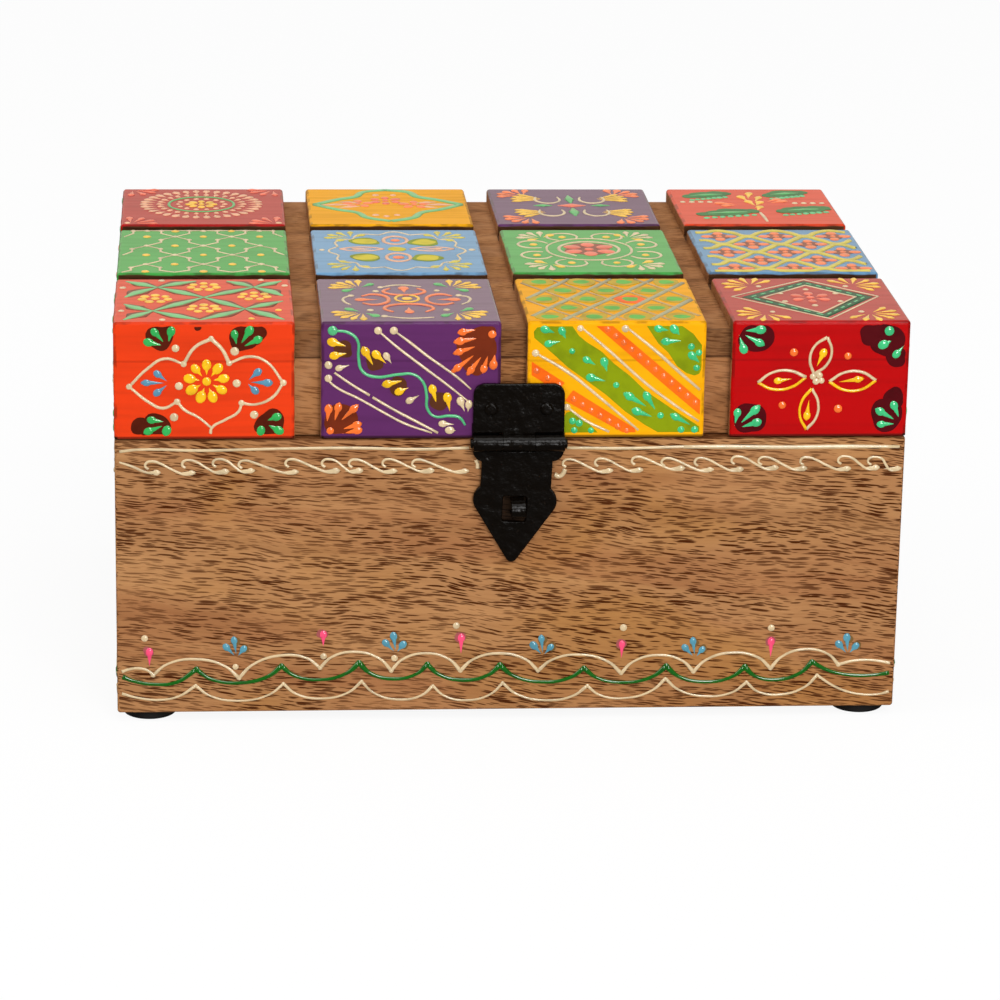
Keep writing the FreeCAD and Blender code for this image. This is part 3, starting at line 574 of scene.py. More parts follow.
class Face:
    """One flat side to paint on, with u to the right and v up, in millimetres from its middle."""

    def __init__(self, name, body, slot, middle, right, up, flat):
        right, up = Vector(right), Vector(up)
        turn = Matrix((right, up, right.cross(up))).transposed().to_4x4()
        self.name, self.body, self.slot, self.flat = name, body, slot, flat
        self.place = Matrix.Translation(Vector(middle) * MM) @ turn @ Matrix.Scale(MM, 4)
        self.marks = []
        self.lines = {}
        self.layers = 0

    def inside(self, spot, margin):
        """The nearest place that keeps a mark of this half-width on the flat."""
        return Vector([max(margin - half, min(half - margin, at)) for at, half in zip(spot, self.flat)])

    def corners(self, in_u, in_v):
        """For each corner, a place so far in from it and the angle, in degrees, that points out to it."""
        half_u, half_v = self.flat
        for side, end in ((-1, -1), (1, -1), (1, 1), (-1, 1)):
            yield (side * (half_u - in_u), end * (half_v - in_v)), math.degrees(math.atan2(end, side))

    def add(self, data, paint):
        """Puts a mark of one paint on the list."""
        data.materials.clear()
        data.materials.append(paints[paint])
        mark = bpy.data.objects.new(self.name, data)
        scene.collection.objects.link(mark)
        self.marks.append(mark)
        return mark

    def lay(self, shape, paint, spot, angle, length, half, rise):
        """A copy of the dot or the drop, turned and stretched."""
        data = shape.data.copy()
        turn = Matrix.Rotation(angle, 4, "Z")
        data.transform(Matrix.Translation((*spot, 0)) @ turn @ Matrix.Diagonal((length, half, rise, 1)))
        self.add(data, paint)

    def dots(self, paint, radius, *spots):
        for spot in spots:
            size = radius * hand.uniform(0.9, 1.1)
            self.lay(dome, paint, self.inside(spot, size), 0, size, size, min(PAINT_RISE, 0.2 + 0.1 * size))

    def drops(self, paint, width, *pairs):
        """Drops, each given by the middle of its head and the end of its tail."""
        for head_u, head_v, tail_u, tail_v in pairs:
            half = width / 2 * hand.uniform(0.9, 1.1)
            head = self.inside((head_u, head_v), half)
            tail = self.inside((tail_u, tail_v), 0.2)
            run = head - tail
            unit = run.length / (1 + TEAR_HEAD)
            middle = tail + run.normalized() * unit
            angle = math.atan2(run.y, run.x)
            self.lay(tear, paint, middle, angle, unit, TAIL * half / TEAR_HALF, 0.9 * PAINT_RISE / TEAR_HALF)
            self.lay(dome, paint, head, angle, min(1.25 * half, run.length), half, PAINT_RISE)

    def spray(self, paint, width, foot, *heads):
        """Drops whose tails run together at a foot."""
        for head in heads:
            self.drops(paint, width, (*head, *part_way(foot, head, 0.2)))

    def fan(self, paint, width, foot, opens, count, reach, spread=90):
        """A spray of equal drops that opens towards an angle in degrees."""
        angles = [opens + spread * (step / (count - 1) - 0.5) for step in range(count)]
        self.spray(paint, width, foot, *[toward(foot, angle, reach) for angle in angles])

    def petals(self, paint, width, middle, count, inner, outer, turn=0.0):
        """A wheel of drops, heads outwards."""
        heads = around(count, outer - width / 2, turn, middle)
        tails = around(count, inner, turn, middle)
        self.drops(paint, width, *[(*head, *tail) for head, tail in zip(heads, tails)])

    def flower(self, paint, width, middle, count, reach, turn=90.0):
        """Petals round a dot."""
        self.petals(paint, width, middle, count, 0.3 * reach, reach, turn)
        self.dots(paint, 0.2 * reach, middle)

    def wash(self, paint, radius, *spots):
        """Blotches of thin paint with an uneven, rounded outline."""
        for spot in spots:
            ring = around(9, radius, 0, spot)
            rim = [Vector(spot).lerp(place, hand.uniform(0.78, 1.06)) for place in ring]
            self.patch(paint, *rim, handles="AUTO")

    def patch(self, paint, *corners, handles="VECTOR"):
        """Thin paint over the earlier areas. VECTOR handles make its sides straight, AUTO round."""
        outline = bpy.data.curves.new(self.name, "CURVE")
        outline.dimensions = "2D"
        outline.fill_mode = "BOTH"
        outline.extrude = WASH_RISE + LAYER * self.layers
        outline.resolution_u = 3
        spline = outline.splines.new("BEZIER")
        spline.bezier_points.add(len(corners) - 1)
        spline.use_cyclic_u = True
        for knot, corner in zip(spline.bezier_points, corners):
            knot.co = (*self.inside(corner, WASH_EDGE), 0)
            knot.handle_left_type = knot.handle_right_type = handles
        self.add(outline, paint)
        self.layers += 1

    def stroke(self, paint, width, *points, ends=0.7, closed=False, straight=False):
        """A drawn line that thins or thickens to a share of its width at both ends."""
        if (paint, width) not in self.lines:
            curve = bpy.data.curves.new(self.name, "CURVE")
            curve.dimensions = "3D"
            curve.bevel_depth = 1
            curve.bevel_resolution = 1
            curve.resolution_u = 5
            curve.use_fill_caps = True
            self.lines[paint, width] = self.add(curve, paint)
        spline = self.lines[paint, width].data.splines.new("BEZIER")
        spline.bezier_points.add(len(points) - 1)
        spline.use_cyclic_u = closed
        for knot, spot in zip(spline.bezier_points, points):
            knot.co = (*self.inside(spot, width / 2), 0)
            knot.handle_left_type = knot.handle_right_type = "VECTOR" if straight else "AUTO"
            knot.radius = width / 2 * hand.uniform(0.88, 1.12)
        if not closed:
            for knot in (spline.bezier_points[0], spline.bezier_points[-1]):
                knot.radius *= ends

    def line(self, paint, width, *points, head=1.1):
        """A line that starts from a blob."""
        self.stroke(paint, width, *points)
        self.dots(paint, head, points[0])

    def leaf(self, paint, width, start, end):
        """A line that swells in the middle."""
        self.stroke(paint, width, start, part_way(start, end, 0.5), end, ends=0.2)

    def ring(self, paint, width, middle, reach, reach_v=None):
        """A drawn circle or oval."""
        self.stroke(paint, width, *around(8, reach, 0, middle, reach_v), closed=True)

    def arc(self, paint, width, middle, reach, reach_v, first, last):
        """Part of an oval, between two angles in degrees."""
        angles = [first + (last - first) * step / 6 for step in range(7)]
        self.stroke(paint, width, *[toward(middle, angle, reach, reach_v) for angle in angles])

    def finish(self):
        """Joins the marks into one piece, puts it in place and lets it ride on its body."""
        only(*self.marks)
        bpy.ops.object.convert(target="MESH")
        for (paint, width), curve in self.lines.items():
            rise = WASH_RISE if paint.endswith("_wash") else min(PAINT_RISE, LINE_RISE * width / 2)
            curve.data.transform(Matrix.Diagonal((1, 1, rise / (width / 2), 1)))
        bpy.ops.object.join()
        piece = bpy.context.object
        bpy.ops.object.mode_set(mode="EDIT")
        bpy.ops.mesh.select_all(action="SELECT")
        bpy.ops.mesh.remove_doubles(threshold=0.001)
        bpy.ops.mesh.normals_make_consistent(inside=False)
        bpy.ops.object.mode_set(mode="OBJECT")
        piece.data.transform(self.place)
        piece.name = self.name
        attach(piece, self.body)
        print(self.name, len(piece.data.polygons), "faces")


print("brushes ready")

# %% [markdown]
# The four front blocks are seen best, so their marks follow the real ones one by one. The first has a
# pointed quatrefoil in cream round a yellow daisy. Its line breaks at eight cusps, so it is drawn as
# separate strokes that meet there.

# %% Quatrefoil block
def quatrefoil(face):
    upper_left, upper_right = (-5.2, 4.4), (6.3, 4.6)
    lower_right, lower_left = (9.4, -5.9), (-6.9, -5.5)
    top, right, bottom, left = (1.8, 11), (20, -0.6), (1.8, -12.5), (-19, -1.5)
    sides = (
        (0.75, 1.0, left, (-14.2, 3.3), (-10, 5.8), upper_left),
        (0.9, 1.2, upper_left, (-2.3, 8.8), top),
        (0.9, 1.2, top, (4.6, 8.1), upper_right),
        (0.75, 1.0, upper_right, (11.4, 6.3), (15.5, 5.1), right),
        (0.75, 1.0, right, (17.3, -4.4), (12.8, -6.3), lower_right),
        (0.75, 1.0, lower_right, (8.7, -8.1), (5.3, -10.3), bottom, (1.5, -14)),
        (0.75, 1.0, bottom, (-1.6, -9.6), (-5, -7.7), lower_left),
        (0.75, 1.0, lower_left, (-10.5, -7.2), (-13.6, -5.9), left))
    for width, swell, *points in sides:
        face.stroke("cream", width, *points, ends=swell)
    face.dots("cream", 0.85, upper_left, upper_right, lower_right, lower_left, left, right, top)
    face.dots("cream", 1.1, (-7.2, 8.5), (7.7, 7.7), (-6.4, -1.4), (8.2, -0.7), (-7.7, -9.6), (12.6, -9))
    face.flower("yellow", 2.5, (0.6, -0.2), 9, 5.6)
    face.spray("grey_blue", 2.0, (-8.8, -0.6), (-14.6, -0.5), (-11.8, 1.8), (-11.9, -3.1))
    face.spray("grey_blue", 2.0, (10.6, -0.4), (13.5, 2.2), (16, -0.6), (12.8, -2.6))
    face.wash("brown_wash", 4.2, (-11, 12), (10, 11.4), (-12, -12.6), (16.6, -11.6))
    face.wash("brown_wash", 3.0, (-16, -12.8), (13, 12.4))
    face.wash("brown_wash", 1.0, (-1.5, 14))
    face.spray("leaf_green", 2.2, (-9.2, 9), (-12.4, 12.7), (-8.3, 12.9), (-14, 10.1))
    face.spray("leaf_green", 2.2, (8.4, 8.2), (7.7, 12.1), (11.4, 13), (13.5, 10.7))
    face.spray("leaf_green", 2.2, (-8.8, -11), (-13.4, -10.3), (-14.2, -13.6), (-9.6, -13.8))
    face.spray("leaf_green", 2.2, (14.8, -11), (18.3, -9.6), (14.3, -13.4), (18.8, -13.2))


# %% [markdown]
# The second block has a green vine that runs down between two pairs of cream lines. Yellow drops hang on
# it like leaves, each on a smudge of brown, and orange sprays fill two corners.

# %% Vine block
def vine(face):
    face.line(
        "vine_green", 0.75, (-20, 13), (-16, 12.5), (-13.7, 10.5), (-13.4, 6), (-12.5, 2.5), (-9.5, 0.9),
        (-3, 1.5), (0.5, 1.5), (3, -0.5), (4, -4), (4.2, -7.5), (6, -9.6), (10, -9.5), (12.5, -10), (14, -12),
        head=1.2)
    face.line("cream", 0.65, (-8.5, 13), (-4, 9), (3, 3.5), (9.5, -1.5), (15, -6), head=1.05)
    face.line("cream", 0.65, (-4.5, 13), (-0.5, 10), (4.5, 6), (8, 3.5), (12, 0.5), (15.3, -2.5), head=1.05)
    face.line("cream", 0.65, (-21.5, 0.5), (-19.5, -1.5), (-13, -5), (-7, -8.5), (-1.5, -11.5), (5.5, -14.7))
    face.stroke("cream", 0.65, (-19.5, 2), (-15, -1.2), (-10.5, -4), ends=1)
    face.stroke("cream", 0.65, (-9.8, -4.5), (-4, -8), (1.5, -11), (7, -14.5), ends=1)
    yellow_drops = (
        (-20, 10, -16, 8.8), (-19.5, 6.5, -15.8, 7.2), (-11.7, 7.5, -9.3, 3.3), (-8.9, 6.7, -6.3, 4.3),
        (-6, -1, -1.4, 0), (-3, -3, -0.6, -2), (5.5, -2.5, 6.7, -6.7), (9.3, -4.7, 10, -8.4))
    face.wash("umber_wash", 2.6, (-17.3, 8.2), (-9.2, 5), (-3.2, -1.6), (7.4, -5.6))
    face.drops("yellow", 2.3, *yellow_drops)
    face.drops(
        "cream", 1.9, (-6.3, 6.3, -5, 4.3), (-18.3, 3.2, -15.6, 4), (-21.5, 4, -20.6, 3),
        (-0.3, -5.4, 2.2, -4), (12.7, -5.7, 13.8, -8.5), (14.8, -6.5, 14.6, -8.6),
        (8.2, -11.6, 11.2, -11.8), (10, -13.6, 11.6, -13.4))
    face.wash("rust_wash", 5.4, (16.8, 8.6), (-18, -11))
    face.wash("rust_wash", 3.4, (16.5, 4.4), (18.5, 11.5))
    face.drops(
        "orange", 2.1, (13, 12.6, 17.4, 13.4), (12.4, 10.2, 18, 11.2), (12.2, 7.4, 17.4, 9.2),
        (11.8, 3.2, 17.2, 7.6), (15.2, 2.6, 18.6, 7.2), (18.5, 3, 19.7, 7.2), (21.3, 4, 21.3, 7.4))
    face.dots("orange", 1.1, (20.5, 12), (-20.5, -13.8))
    face.drops(
        "orange", 2.1, (-21.2, -7.6, -21.4, -11.8), (-18.5, -7.2, -19.6, -11.6), (-14.6, -7.6, -18.6, -11.4),
        (-13.8, -11.8, -18.2, -13.2), (-13.6, -14, -17.6, -14.6))


# %% [markdown]
# The third block is striped on the slant: green bands with mint drops, orange stripes with dots, and cream
# lines between them, on yellow.

# %% Striped block
def slanted_stripes(face):
    face.patch(
        "olive_wash", (-21.2, 11), (-21.4, 12.6), (-20.6, 13.7), (-19, 14.2), (-11.5, 14), (-9.8, 11.5),
        (-8, 10), (-4, 7.4), (-0.5, 4), (3.4, 1), (7.5, -3), (14, -7.5), (21.9, -12.6), (21.9, -15.1),
        (11, -15.1), (7.5, -12), (2.5, -8.5), (-2.6, -4), (-8, 0), (-12.4, 3.2), (-16, 6.5))
    face.patch(
        "olive_wash", (7.5, 14.2), (16.5, 14.2), (19.4, 12), (21.9, 9), (21.9, 2.6), (21.2, 1.4), (20, 1),
        (18, 1.6), (15.5, 3.5), (13.2, 7), (10.5, 9.5))
    face.patch(
        "olive_wash", (-13, -15.1), (-13.2, -10), (-12.6, -8.8), (-11.4, -8.4), (-10, -8.9), (-8.5, -10),
        (-4.5, -15.1))
    face.patch("orange_wash", (-5.4, 14.2), (-1.2, 14.2), (21.9, -5.6), (21.9, -9.4), (16, -4.6))
    face.patch("orange_wash", (-21.9, 4.7), (-21.9, 1.2), (-15, -3), (-13.2, -0.8))
    face.patch("orange_wash", (-13, -5.6), (-11, -2.8), (5, -13), (5.4, -15.1), (2, -15.1))
    for first, last, count in (((-2.5, 13.2), (20.5, -6.2), 12), ((-20.5, 2.3), (-14.6, -1.5), 3),
                               ((-10.8, -5.2), (3, -14), 7)):
        face.dots("orange", 0.8, *along(first, last, count))
    face.line("cream", 0.85, (-9.5, 14), (-2.5, 8), (7.5, -1), (14, -6), (21.5, -11.2), head=0.9)
    face.line("cream", 0.85, (2, 14), (10.5, 7), (16, 2), (21.5, -2.8), head=0.9)
    face.line("cream", 0.85, (-20.8, 7), (-12.5, 2), (-4.5, -4.5), (6, -13.5), head=0.9)
    face.line("cream", 0.85, (-12.5, -7.3), (-7.5, -11), (-1.5, -14.8), head=0.9)
    face.drops(
        "mint", 2.1, (-18.5, 13.2, -15.6, 12.2), (-14.2, 12.8, -13, 10.4), (-17.5, 9.5, -14, 10.2),
        (-7.7, 5.2, -5, 3.6), (-3.2, 4.6, -2.3, 1.6), (-6.5, 0.5, -2, -0.6), (3.5, -4.5, 8.7, -7.7),
        (8, -4.5, 10.6, -8.7), (5.5, -8.5, 10.2, -10.2), (15.5, -10, 20.2, -12.6), (10.5, 13.4, 13.6, 12.8),
        (14.5, 13.4, 16.2, 11.4), (12.5, 10, 17.2, 10.2), (19.3, 6.2, 21.6, 4))
    face.dots(
        "mint", 0.9, (-11.5, 7.5), (0, -1.5), (11.6, -9.6), (17, -14), (20.5, -14), (19, 8.6), (21, 7),
        (20.5, 3), (-11, -11), (-9.3, -11.6), (-10.5, -14), (-6.2, -14.2))


# %% [markdown]
# The fourth block has four almonds in a cross, each an outline of cream with a yellow drop inside, and
# mint drops on dark washes in the corners. An almond is two swelling strokes between the same two points,
# one of which may be of another paint.

# %% Almond block
def almond(face, paint, tip, foot, half, left_paint=None):
    """A pointed oval between two places; left_paint is for the side on the left, seen from the foot."""
    run = Vector(tip) - Vector(foot)
    side = Vector((-run.y, run.x)).normalized() * half
    for share, line_paint in ((-1, paint), (1, left_paint or paint)):
        third, far = Vector(foot) + run * 0.32 + side * share, Vector(foot) + run * 0.70 + side * share
        face.stroke(line_paint, 0.72, foot, third, far, tip, ends=1.2)


def almond_cross(face):
    almond(face, "cream", (1.5, 11), (-1.6, 1.2), 2.3)
    almond(face, "cream", (-16, -1), (-3.6, 0.4), 2.2, "yellow")
    almond(face, "yellow", (14.5, -0.5), (2.4, -0.8), 2.3, "cream")
    almond(face, "yellow", (-3, -13.5), (-2, -2.6), 2.1, "cream")
    face.drops(
        "yellow", 1.9, (0.6, 6.8, -1, 3.2), (-10.8, -0.5, -7.2, 0), (9.8, -0.2, 4.8, -0.9),
        (-3, -9.8, -2.6, -5.6))
    face.dots("cream", 0.9, (-1.8, 0.6), (-0.2, 0.9), (-1, -0.7), (0.4, -0.5))
    face.dots("orange", 1.05, (-7, 7), (7, 6), (-9.5, -7), (5, -8))
    face.wash("maroon_wash", 4.6, (-17, 11), (17.2, 10), (-18, -10.5), (18, -9.6))
    face.wash("maroon_wash", 3.2, (19.5, 5.6), (19.5, -5.4), (12.6, 12))
    face.spray("mint", 2.3, (-21.6, 12.6), (-15.8, 13), (-16, 9.6), (-20, 8))
    face.drops("mint", 2.3, (16, 9, 18.4, 10.2), (19.5, 6.5, 21.4, 8.8))
    face.dots("mint", 1.3, (17.4, 12.6))
    face.spray("mint", 2.2, (-21.8, -13.4), (-21, -9), (-16.5, -8.3), (-16, -11.6))
    face.spray("mint", 2.2, (21.6, -12), (16, -8.8), (19.5, -7.2), (16.4, -12.2))


# %% Paint the front of the lid
FACE_Z = (LID_FOOT + LID_TOP) / 2
EDGE = 0.9
ACROSS = [(column - 1.5) * PITCH_X for column in range(4)]
ROWS = [-(HALF_Y - OUTER_ROW / 2), 0.0, HALF_Y - OUTER_ROW / 2]
ROW_DEPTHS = [OUTER_ROW, MIDDLE_ROW, OUTER_ROW]
UP, BACK, RIGHT = Vector((0, 0, 1)), Vector((0, 1, 0)), Vector((1, 0, 0))
FRONT_FLAT = (BLOCK_X / 2 - EDGE, (LID_TOP - LID_FOOT) / 2 - EDGE)


def decorate(motif, name, middle, right, up, flat):
    """One painted side of the lid, from start to finish."""
    face = Face(name, "lid", "painted_block_wood", middle, right, up, flat)
    motif(face)
    face.finish()


for column, motif in enumerate((quatrefoil, vine, slanted_stripes, almond_cross)):
    middle = (ACROSS[column], -HALF_Y, FACE_Z)
    decorate(motif, f"front_paint_{column + 1}", middle, RIGHT, UP, FRONT_FLAT)

# %% [markdown]
# The twelve tops are seen at a low angle, each with its own pattern. The first is a trellis of green leaves
# with a yellow flower in each opening. A leaf is a stroke that swells in its middle, and a wider one of
# dull thin paint lies under it as its shadow.

# %% Trellis top
def leaf_trellis(face):
    back_left, back_right, heart = (-12, 13.5), (13, 13.5), (0, 3)
    front_left, front_right, front = (-13, -11), (10.5, -9), (-1, -21)
    leaves = (
        (back_left, (-20.5, 20)), (back_left, (-2, 21)), (back_left, (-22, 3)), (back_left, heart),
        (back_right, (6, 21)), (back_right, (21.5, 21)), (back_right, (21.5, 4.5)), (back_right, heart),
        (heart, front_left), (heart, front_right), (front_left, (-22, -4)), (front_left, (-21, -20)),
        (front_left, front), (front_right, (20.5, -1)), (front_right, (20.5, -20)), (front_right, front))
    for start, end in leaves:
        face.leaf("taupe_wash", 5.6, start, end)
        face.leaf("pale_green", 3.4, start, end)
    for middle in ((0, 14), (-12.5, 1.5), (13, 4), (0, -8.5)):
        face.dots("yellow", 1.2, middle, *around(7, 3.4, 90, middle))
    face.dots("cream", 0.9, (-11, 20.5), (-21, 13), (15, 21), (21.5, 15), (-21, -11), (-10.5, -20))
    face.dots("yellow", 0.9, (19, -10.5), (12, -19))


# %% [markdown]
# The purple top has a yellow eye, four orange curls round it, and cream arcs outside them. Its corners hold
# sprays of yellow with a green leaf on each side.

# %% Curl top
def corner_sprays(face, paint, leaf_paint, reach=6.5, count=5):
    """In each corner a fan of drops that opens outwards, with a leaf on both sides."""
    for foot, opens in face.corners(10, 9):
        face.fan(paint, 1.9, foot, opens, count, reach)
        face.fan(leaf_paint, 2.2, foot, opens, 2, 0.7 * reach, 175)


def curl_rosette(face):
    face.ring("yellow", 0.9, (0, 1.2), 3.0, 3.6)
    face.dots("yellow", 1.4, (0, 1.2))
    curls = (
        ((-8.7, 0.2), 3.9, 5.4, 180), ((8.9, 0.2), 3.9, 5.4, 0), ((-0.4, 8.8), 5.4, 4.0, 90),
        ((0, -9.1), 6.3, 4.6, 270))
    for middle, reach, reach_v, opening in curls:
        face.arc("orange", 1.2, middle, reach, reach_v, opening + 42, opening + 318)
        head, tail = toward(middle, opening, 3.2), toward(middle, opening, -1.4)
        face.drops("orange", 2.8, (*head, *tail))
    face.line("cream", 0.8, (-6.4, 13), (-3, 15), (0.5, 15.2), (4.3, 13.4), head=0.9)
    face.line("cream", 0.8, (-6.6, -17), (-1, -19), (6, -18.2), head=0.9)
    face.line("cream", 0.8, (-14.4, 4.2), (-16.3, 2), (-16.2, -2.5), (-14.8, -5), head=1.0)
    face.line("cream", 0.8, (13.6, 4.4), (16, 2.6), (15.8, -2), (13.8, -5), head=1.0)
    face.dots("cream", 0.9, (-7.8, 8.8), (8.2, 9.4), (-10, -10.8), (9.6, -10.6))
    corner_sprays(face, "yellow", "leaf_green")


# %% [markdown]
# The yellow top is a woven net: broad slanting lines one way, thin ones the other way, and a green dab in
# every cell. A line is cut off where it leaves the flat of the block. A cell's middle is the crossing of two
# lines that would run halfway between the drawn ones.

# %% Net top
def slanted_line(face, paint, width, offset, rise):
    """A line across the whole face, at this offset from the middle, going up or down to the right."""
    half_u, half_v = face.flat
    ends = []
    for u in (-half_u, half_u):
        v = max(-half_v, min(half_v, rise * u + offset))
        ends.append(((v - offset) / rise, v))
    if ends[1][0] - ends[0][0] > 3:
        face.stroke(paint, width, *ends, ends=1)


def woven_net(face):
    pitch, rise = 18.0, 1.6
    for first in range(-3, 3):
        for second in range(-3, 3):
            u = (second - first) * pitch / (2 * rise)
            spot = (u, rise * u + (first + 0.5) * pitch)
            if abs(spot[0]) < face.flat[0] - 2 and abs(spot[1]) < face.flat[1] - 2:
                face.wash("orange_wash" if (first, second) == (-1, 0) else "straw_wash", 4.2, spot)
                face.wash("grass_wash", 2.3, spot)
    for step in range(-3, 4):
        slanted_line(face, "grey_line", 1.6, step * pitch, rise)
        slanted_line(face, "straw_line", 1.0, step * pitch, -rise)


# %% [markdown]
# The next top has two cream diamonds, a dark green band of dashes between them and an orange flower in the
# middle. The diamonds are straight strokes, so their corners stay sharp.

# %% Diamond top
def diamond_frame(face):
    outer = ((-20, 2.5), (1.5, 20.5), (18.5, 2.5), (2.5, -20.5))
    inner = ((-12, 1.5), (1, 14.5), (12.5, 2), (1, -14.5))
    band = [part_way(near, far, 0.42) for near, far in zip(inner, outer)]
    face.stroke("bottle_wash", 4.6, *band, closed=True, straight=True)
    for line in (outer, inner):
        face.stroke("cream", 0.75, *line, closed=True, straight=True)
    for start, end in zip(band, band[1:] + band[:1]):
        for step in range(6):
            shares = (step / 6 + 0.03, step / 6 + 0.11)
            face.stroke("mint", 0.9, *[part_way(start, end, share) for share in shares])
    face.flower("coral", 2.4, (0.5, 1.6), 6, 5.2)
    face.dots("cream", 0.8, *around(6, 8.4, 30, (0.5, 1.6)))
    for (foot, opens), (dot, _) in zip(face.corners(8.5, 7), face.corners(10.5, 8.5)):
        face.fan("yellow", 1.8, foot, opens, 7, 6.2, 190)
        face.dots("cream", 0.8, dot)


# %% [markdown]
# The middle row has a net of cream twigs, a scalloped oval, a ringed flower and an ogee lattice. The nets
# come from loops over columns and rows. Each twig is a Z: it steps down halfway along the side of a cell.

# %% Twig top
def twig_net(face):
    half_u, half_v = face.flat
    cell_u, cell_v = 15.4, 21.0
    for row in range(-2, 4):
        for column in range(-2, 3):
            u = (column + 0.5 * (row % 2)) * cell_u
            v = row * cell_v / 2 - 4.5
            if abs(u) > half_u or abs(v) > half_v + 6:
                continue
            for way in (-1, 1):
                low, high = (u + way * cell_u / 2, v), (u, v + cell_v / 2)
                middle = part_way(low, high, 0.5)
                step = [(middle[0], middle[1] + share) for share in (-1.6, 1.6)]
                face.stroke("cream", 0.75, low, *step, high, straight=True)
                face.dots("cream", 0.75, (middle[0], middle[1] + 1.5))
            face.dots("yellow", 1.1, (u, v))
            face.dots("cream", 0.85, (u, v + cell_v / 2))


# %% Oval top
def scalloped_oval(face):
    count = 12
    cusps = around(count, 16.6, 15, reach_v=19)
    crowns = around(count, 18.6, 30, reach_v=22)
    for number, cusp in enumerate(cusps):
        face.stroke("cream", 0.7, cusp, crowns[number], cusps[(number + 1) % count], ends=0.9)
    for u, v in ((-8.4, 11), (7.8, 10), (-8.8, -7.4), (7.8, -8.4)):
        face.wash("olive_wash", 4.6, (u, v))
        face.wash("lemon_wash", 3.4, (u, v))
    for v in (-7.5, 12):
        face.ring("peach", 1.1, (0, v), 3.2, 4.6)
        face.dots("orange", 1.5, (0, v))
    for side in (-1, 1):
        almond(face, "peach", (side * 15.5, 2), (side * 3.6, 2), 2.0)
        face.drops("peach", 1.8, (side * 11, 2, side * 6, 2))
        face.dots("cream", 0.9, (side * 20.4, 1))
    face.wash("lemon_wash", 2.6, (0, 2))
    corner_sprays(face, "olive_line", "olive_line", reach=6.0, count=4)


# %% Ringed flower top
def ringed_flower(face):
    face.wash("taupe_wash", 7.0, (0, 1.5))
    face.flower("coral", 4.2, (0, 1.5), 6, 7.2)
    face.arc("cream", 1.0, (0, 1.5), 8.2, 8.6, -60, 240)
    face.ring("cream", 0.75, (0, 1.5), 11.6, 12.4)
    for number, (u, v) in enumerate(around(8, 16.0, 22.5, (0, 1.0))):
        opening = 22.5 + 45 * number + 180
        face.arc("cream", 0.8, (u, v), 4.2, 4.2, opening + 40, opening + 320)
        face.dots("yellow", 1.1, (u, v))
    corner_sprays(face, "cream", "yellow", reach=5.6, count=4)


# %% Ogee lattice top
def ogee_lattice(face):
    half_u, half_v = face.flat
    cell_u, step_v = 15.9, 9.2
    for row in range(-2, 4):
        middle, swing = (row - 0.5) * step_v - 2.0, 4.2 if row % 2 else -4.2
        points = []
        for quarter in range(-5, 6):
            v = middle + swing * (0, 1, 0, -1)[(quarter + 1) % 4]
            points.append((quarter * cell_u / 4 + 1.0, max(-half_v, min(half_v, v))))
        face.stroke("olive_line", 2.2, (-half_u, middle), *points, (half_u, middle), ends=1)
    for row in range(-2, 3):
        for column in range(-1, 2):
            spot = ((column + 0.5 * (row % 2)) * cell_u + 1.0, row * step_v - 2.0)
            if abs(spot[0]) < half_u - 1.5:
                face.wash("taupe_wash", 3.2, spot)
                face.flower("orange", 3.0, spot, 4, 4.8, 0)


# %% [markdown]
# The back row is seen at the flattest angle: a wheel of petals, a pointed ogee leaf, curled leaves and
# corner leaves.

# %% Wheel top
def petal_wheel(face):
    middle = (-0.5, 2.5)
    face.flower("yellow", 2.2, middle, 8, 4.4)
    face.dots("peach", 0.8, *around(14, 6.6, 0, middle))
    face.ring("leaf_green", 0.9, middle, 9.2)
    for count, inner, outer, width in ((26, 10.2, 12.6, 1.5), (34, 13.2, 17.2, 2.1)):
        face.petals("peach", width, middle, count, inner, outer)
    for foot, outwards in face.corners(2, 1):
        face.fan("coral", 2.0, foot, outwards + 180, 4, 6, 100)
    face.dots("peach", 0.9, (-21, -20.5), (21, -20.5))


# %% Ogee leaf top
def ogee_leaf(face):
    for side in (-1, 1):
        for end in (-1, 1):
            face.stroke(
                "pale_green", 2.3, (side * 21.5, 2), (side * 14, 2 + end * 6.5), (side * 9, 2 + end * 10),
                (side * 6.5, 2 + end * 16), (0, 2 + end * 20.5), ends=1)
        face.leaf("peach", 2.2, (side * 19, 2), (side * 10, 2))
        face.leaf("peach", 2.0, (side * 14, 5.5), (side * 8, 4))
        face.leaf("peach", 2.0, (side * 14, -1.5), (side * 8, 0))
    face.flower("orange", 2.6, (-8.5, 3), 5, 4.4)
    face.flower("orange", 2.6, (7.5, 2), 5, 4.4)
    face.flower("coral", 2.4, (-0.5, 7), 6, 4.6)
    face.dots("peach", 1.0, (-4, -11), (-1, -12.5), (2, -11), (-3, 14), (2, 14))


# %% Curled leaves top
def curled_leaves(face):
    face.leaf("coral", 4.0, (-4, 1), (4, 1))
    for end in (-1, 1):
        face.leaf("leaf_green", 3.0, (0, 1 + end * 3), (0, 1 + end * 13))
        for side in (-1, 1):
            face.arc("cream", 0.9, (side * 6.4, 1 + end * 8), 3.6, 5.2, 90 - side * 60, 90 - side * 300)
            face.fan("yellow", 2.0, (side * 6.5, 1 + end * 7.5), 90 - side * (90 - end * 14), 4, 8.4, 50)
            foot = (side * (face.flat[0] - 9), end * (face.flat[1] - 8))
            face.fan("orange", 2.4, foot, math.degrees(math.atan2(end, side)), 5, 6.2, 110)
    for side in (-1, 1):
        face.leaf("leaf_green", 2.2, (side * 5.5, 1), (side * 11, 1))


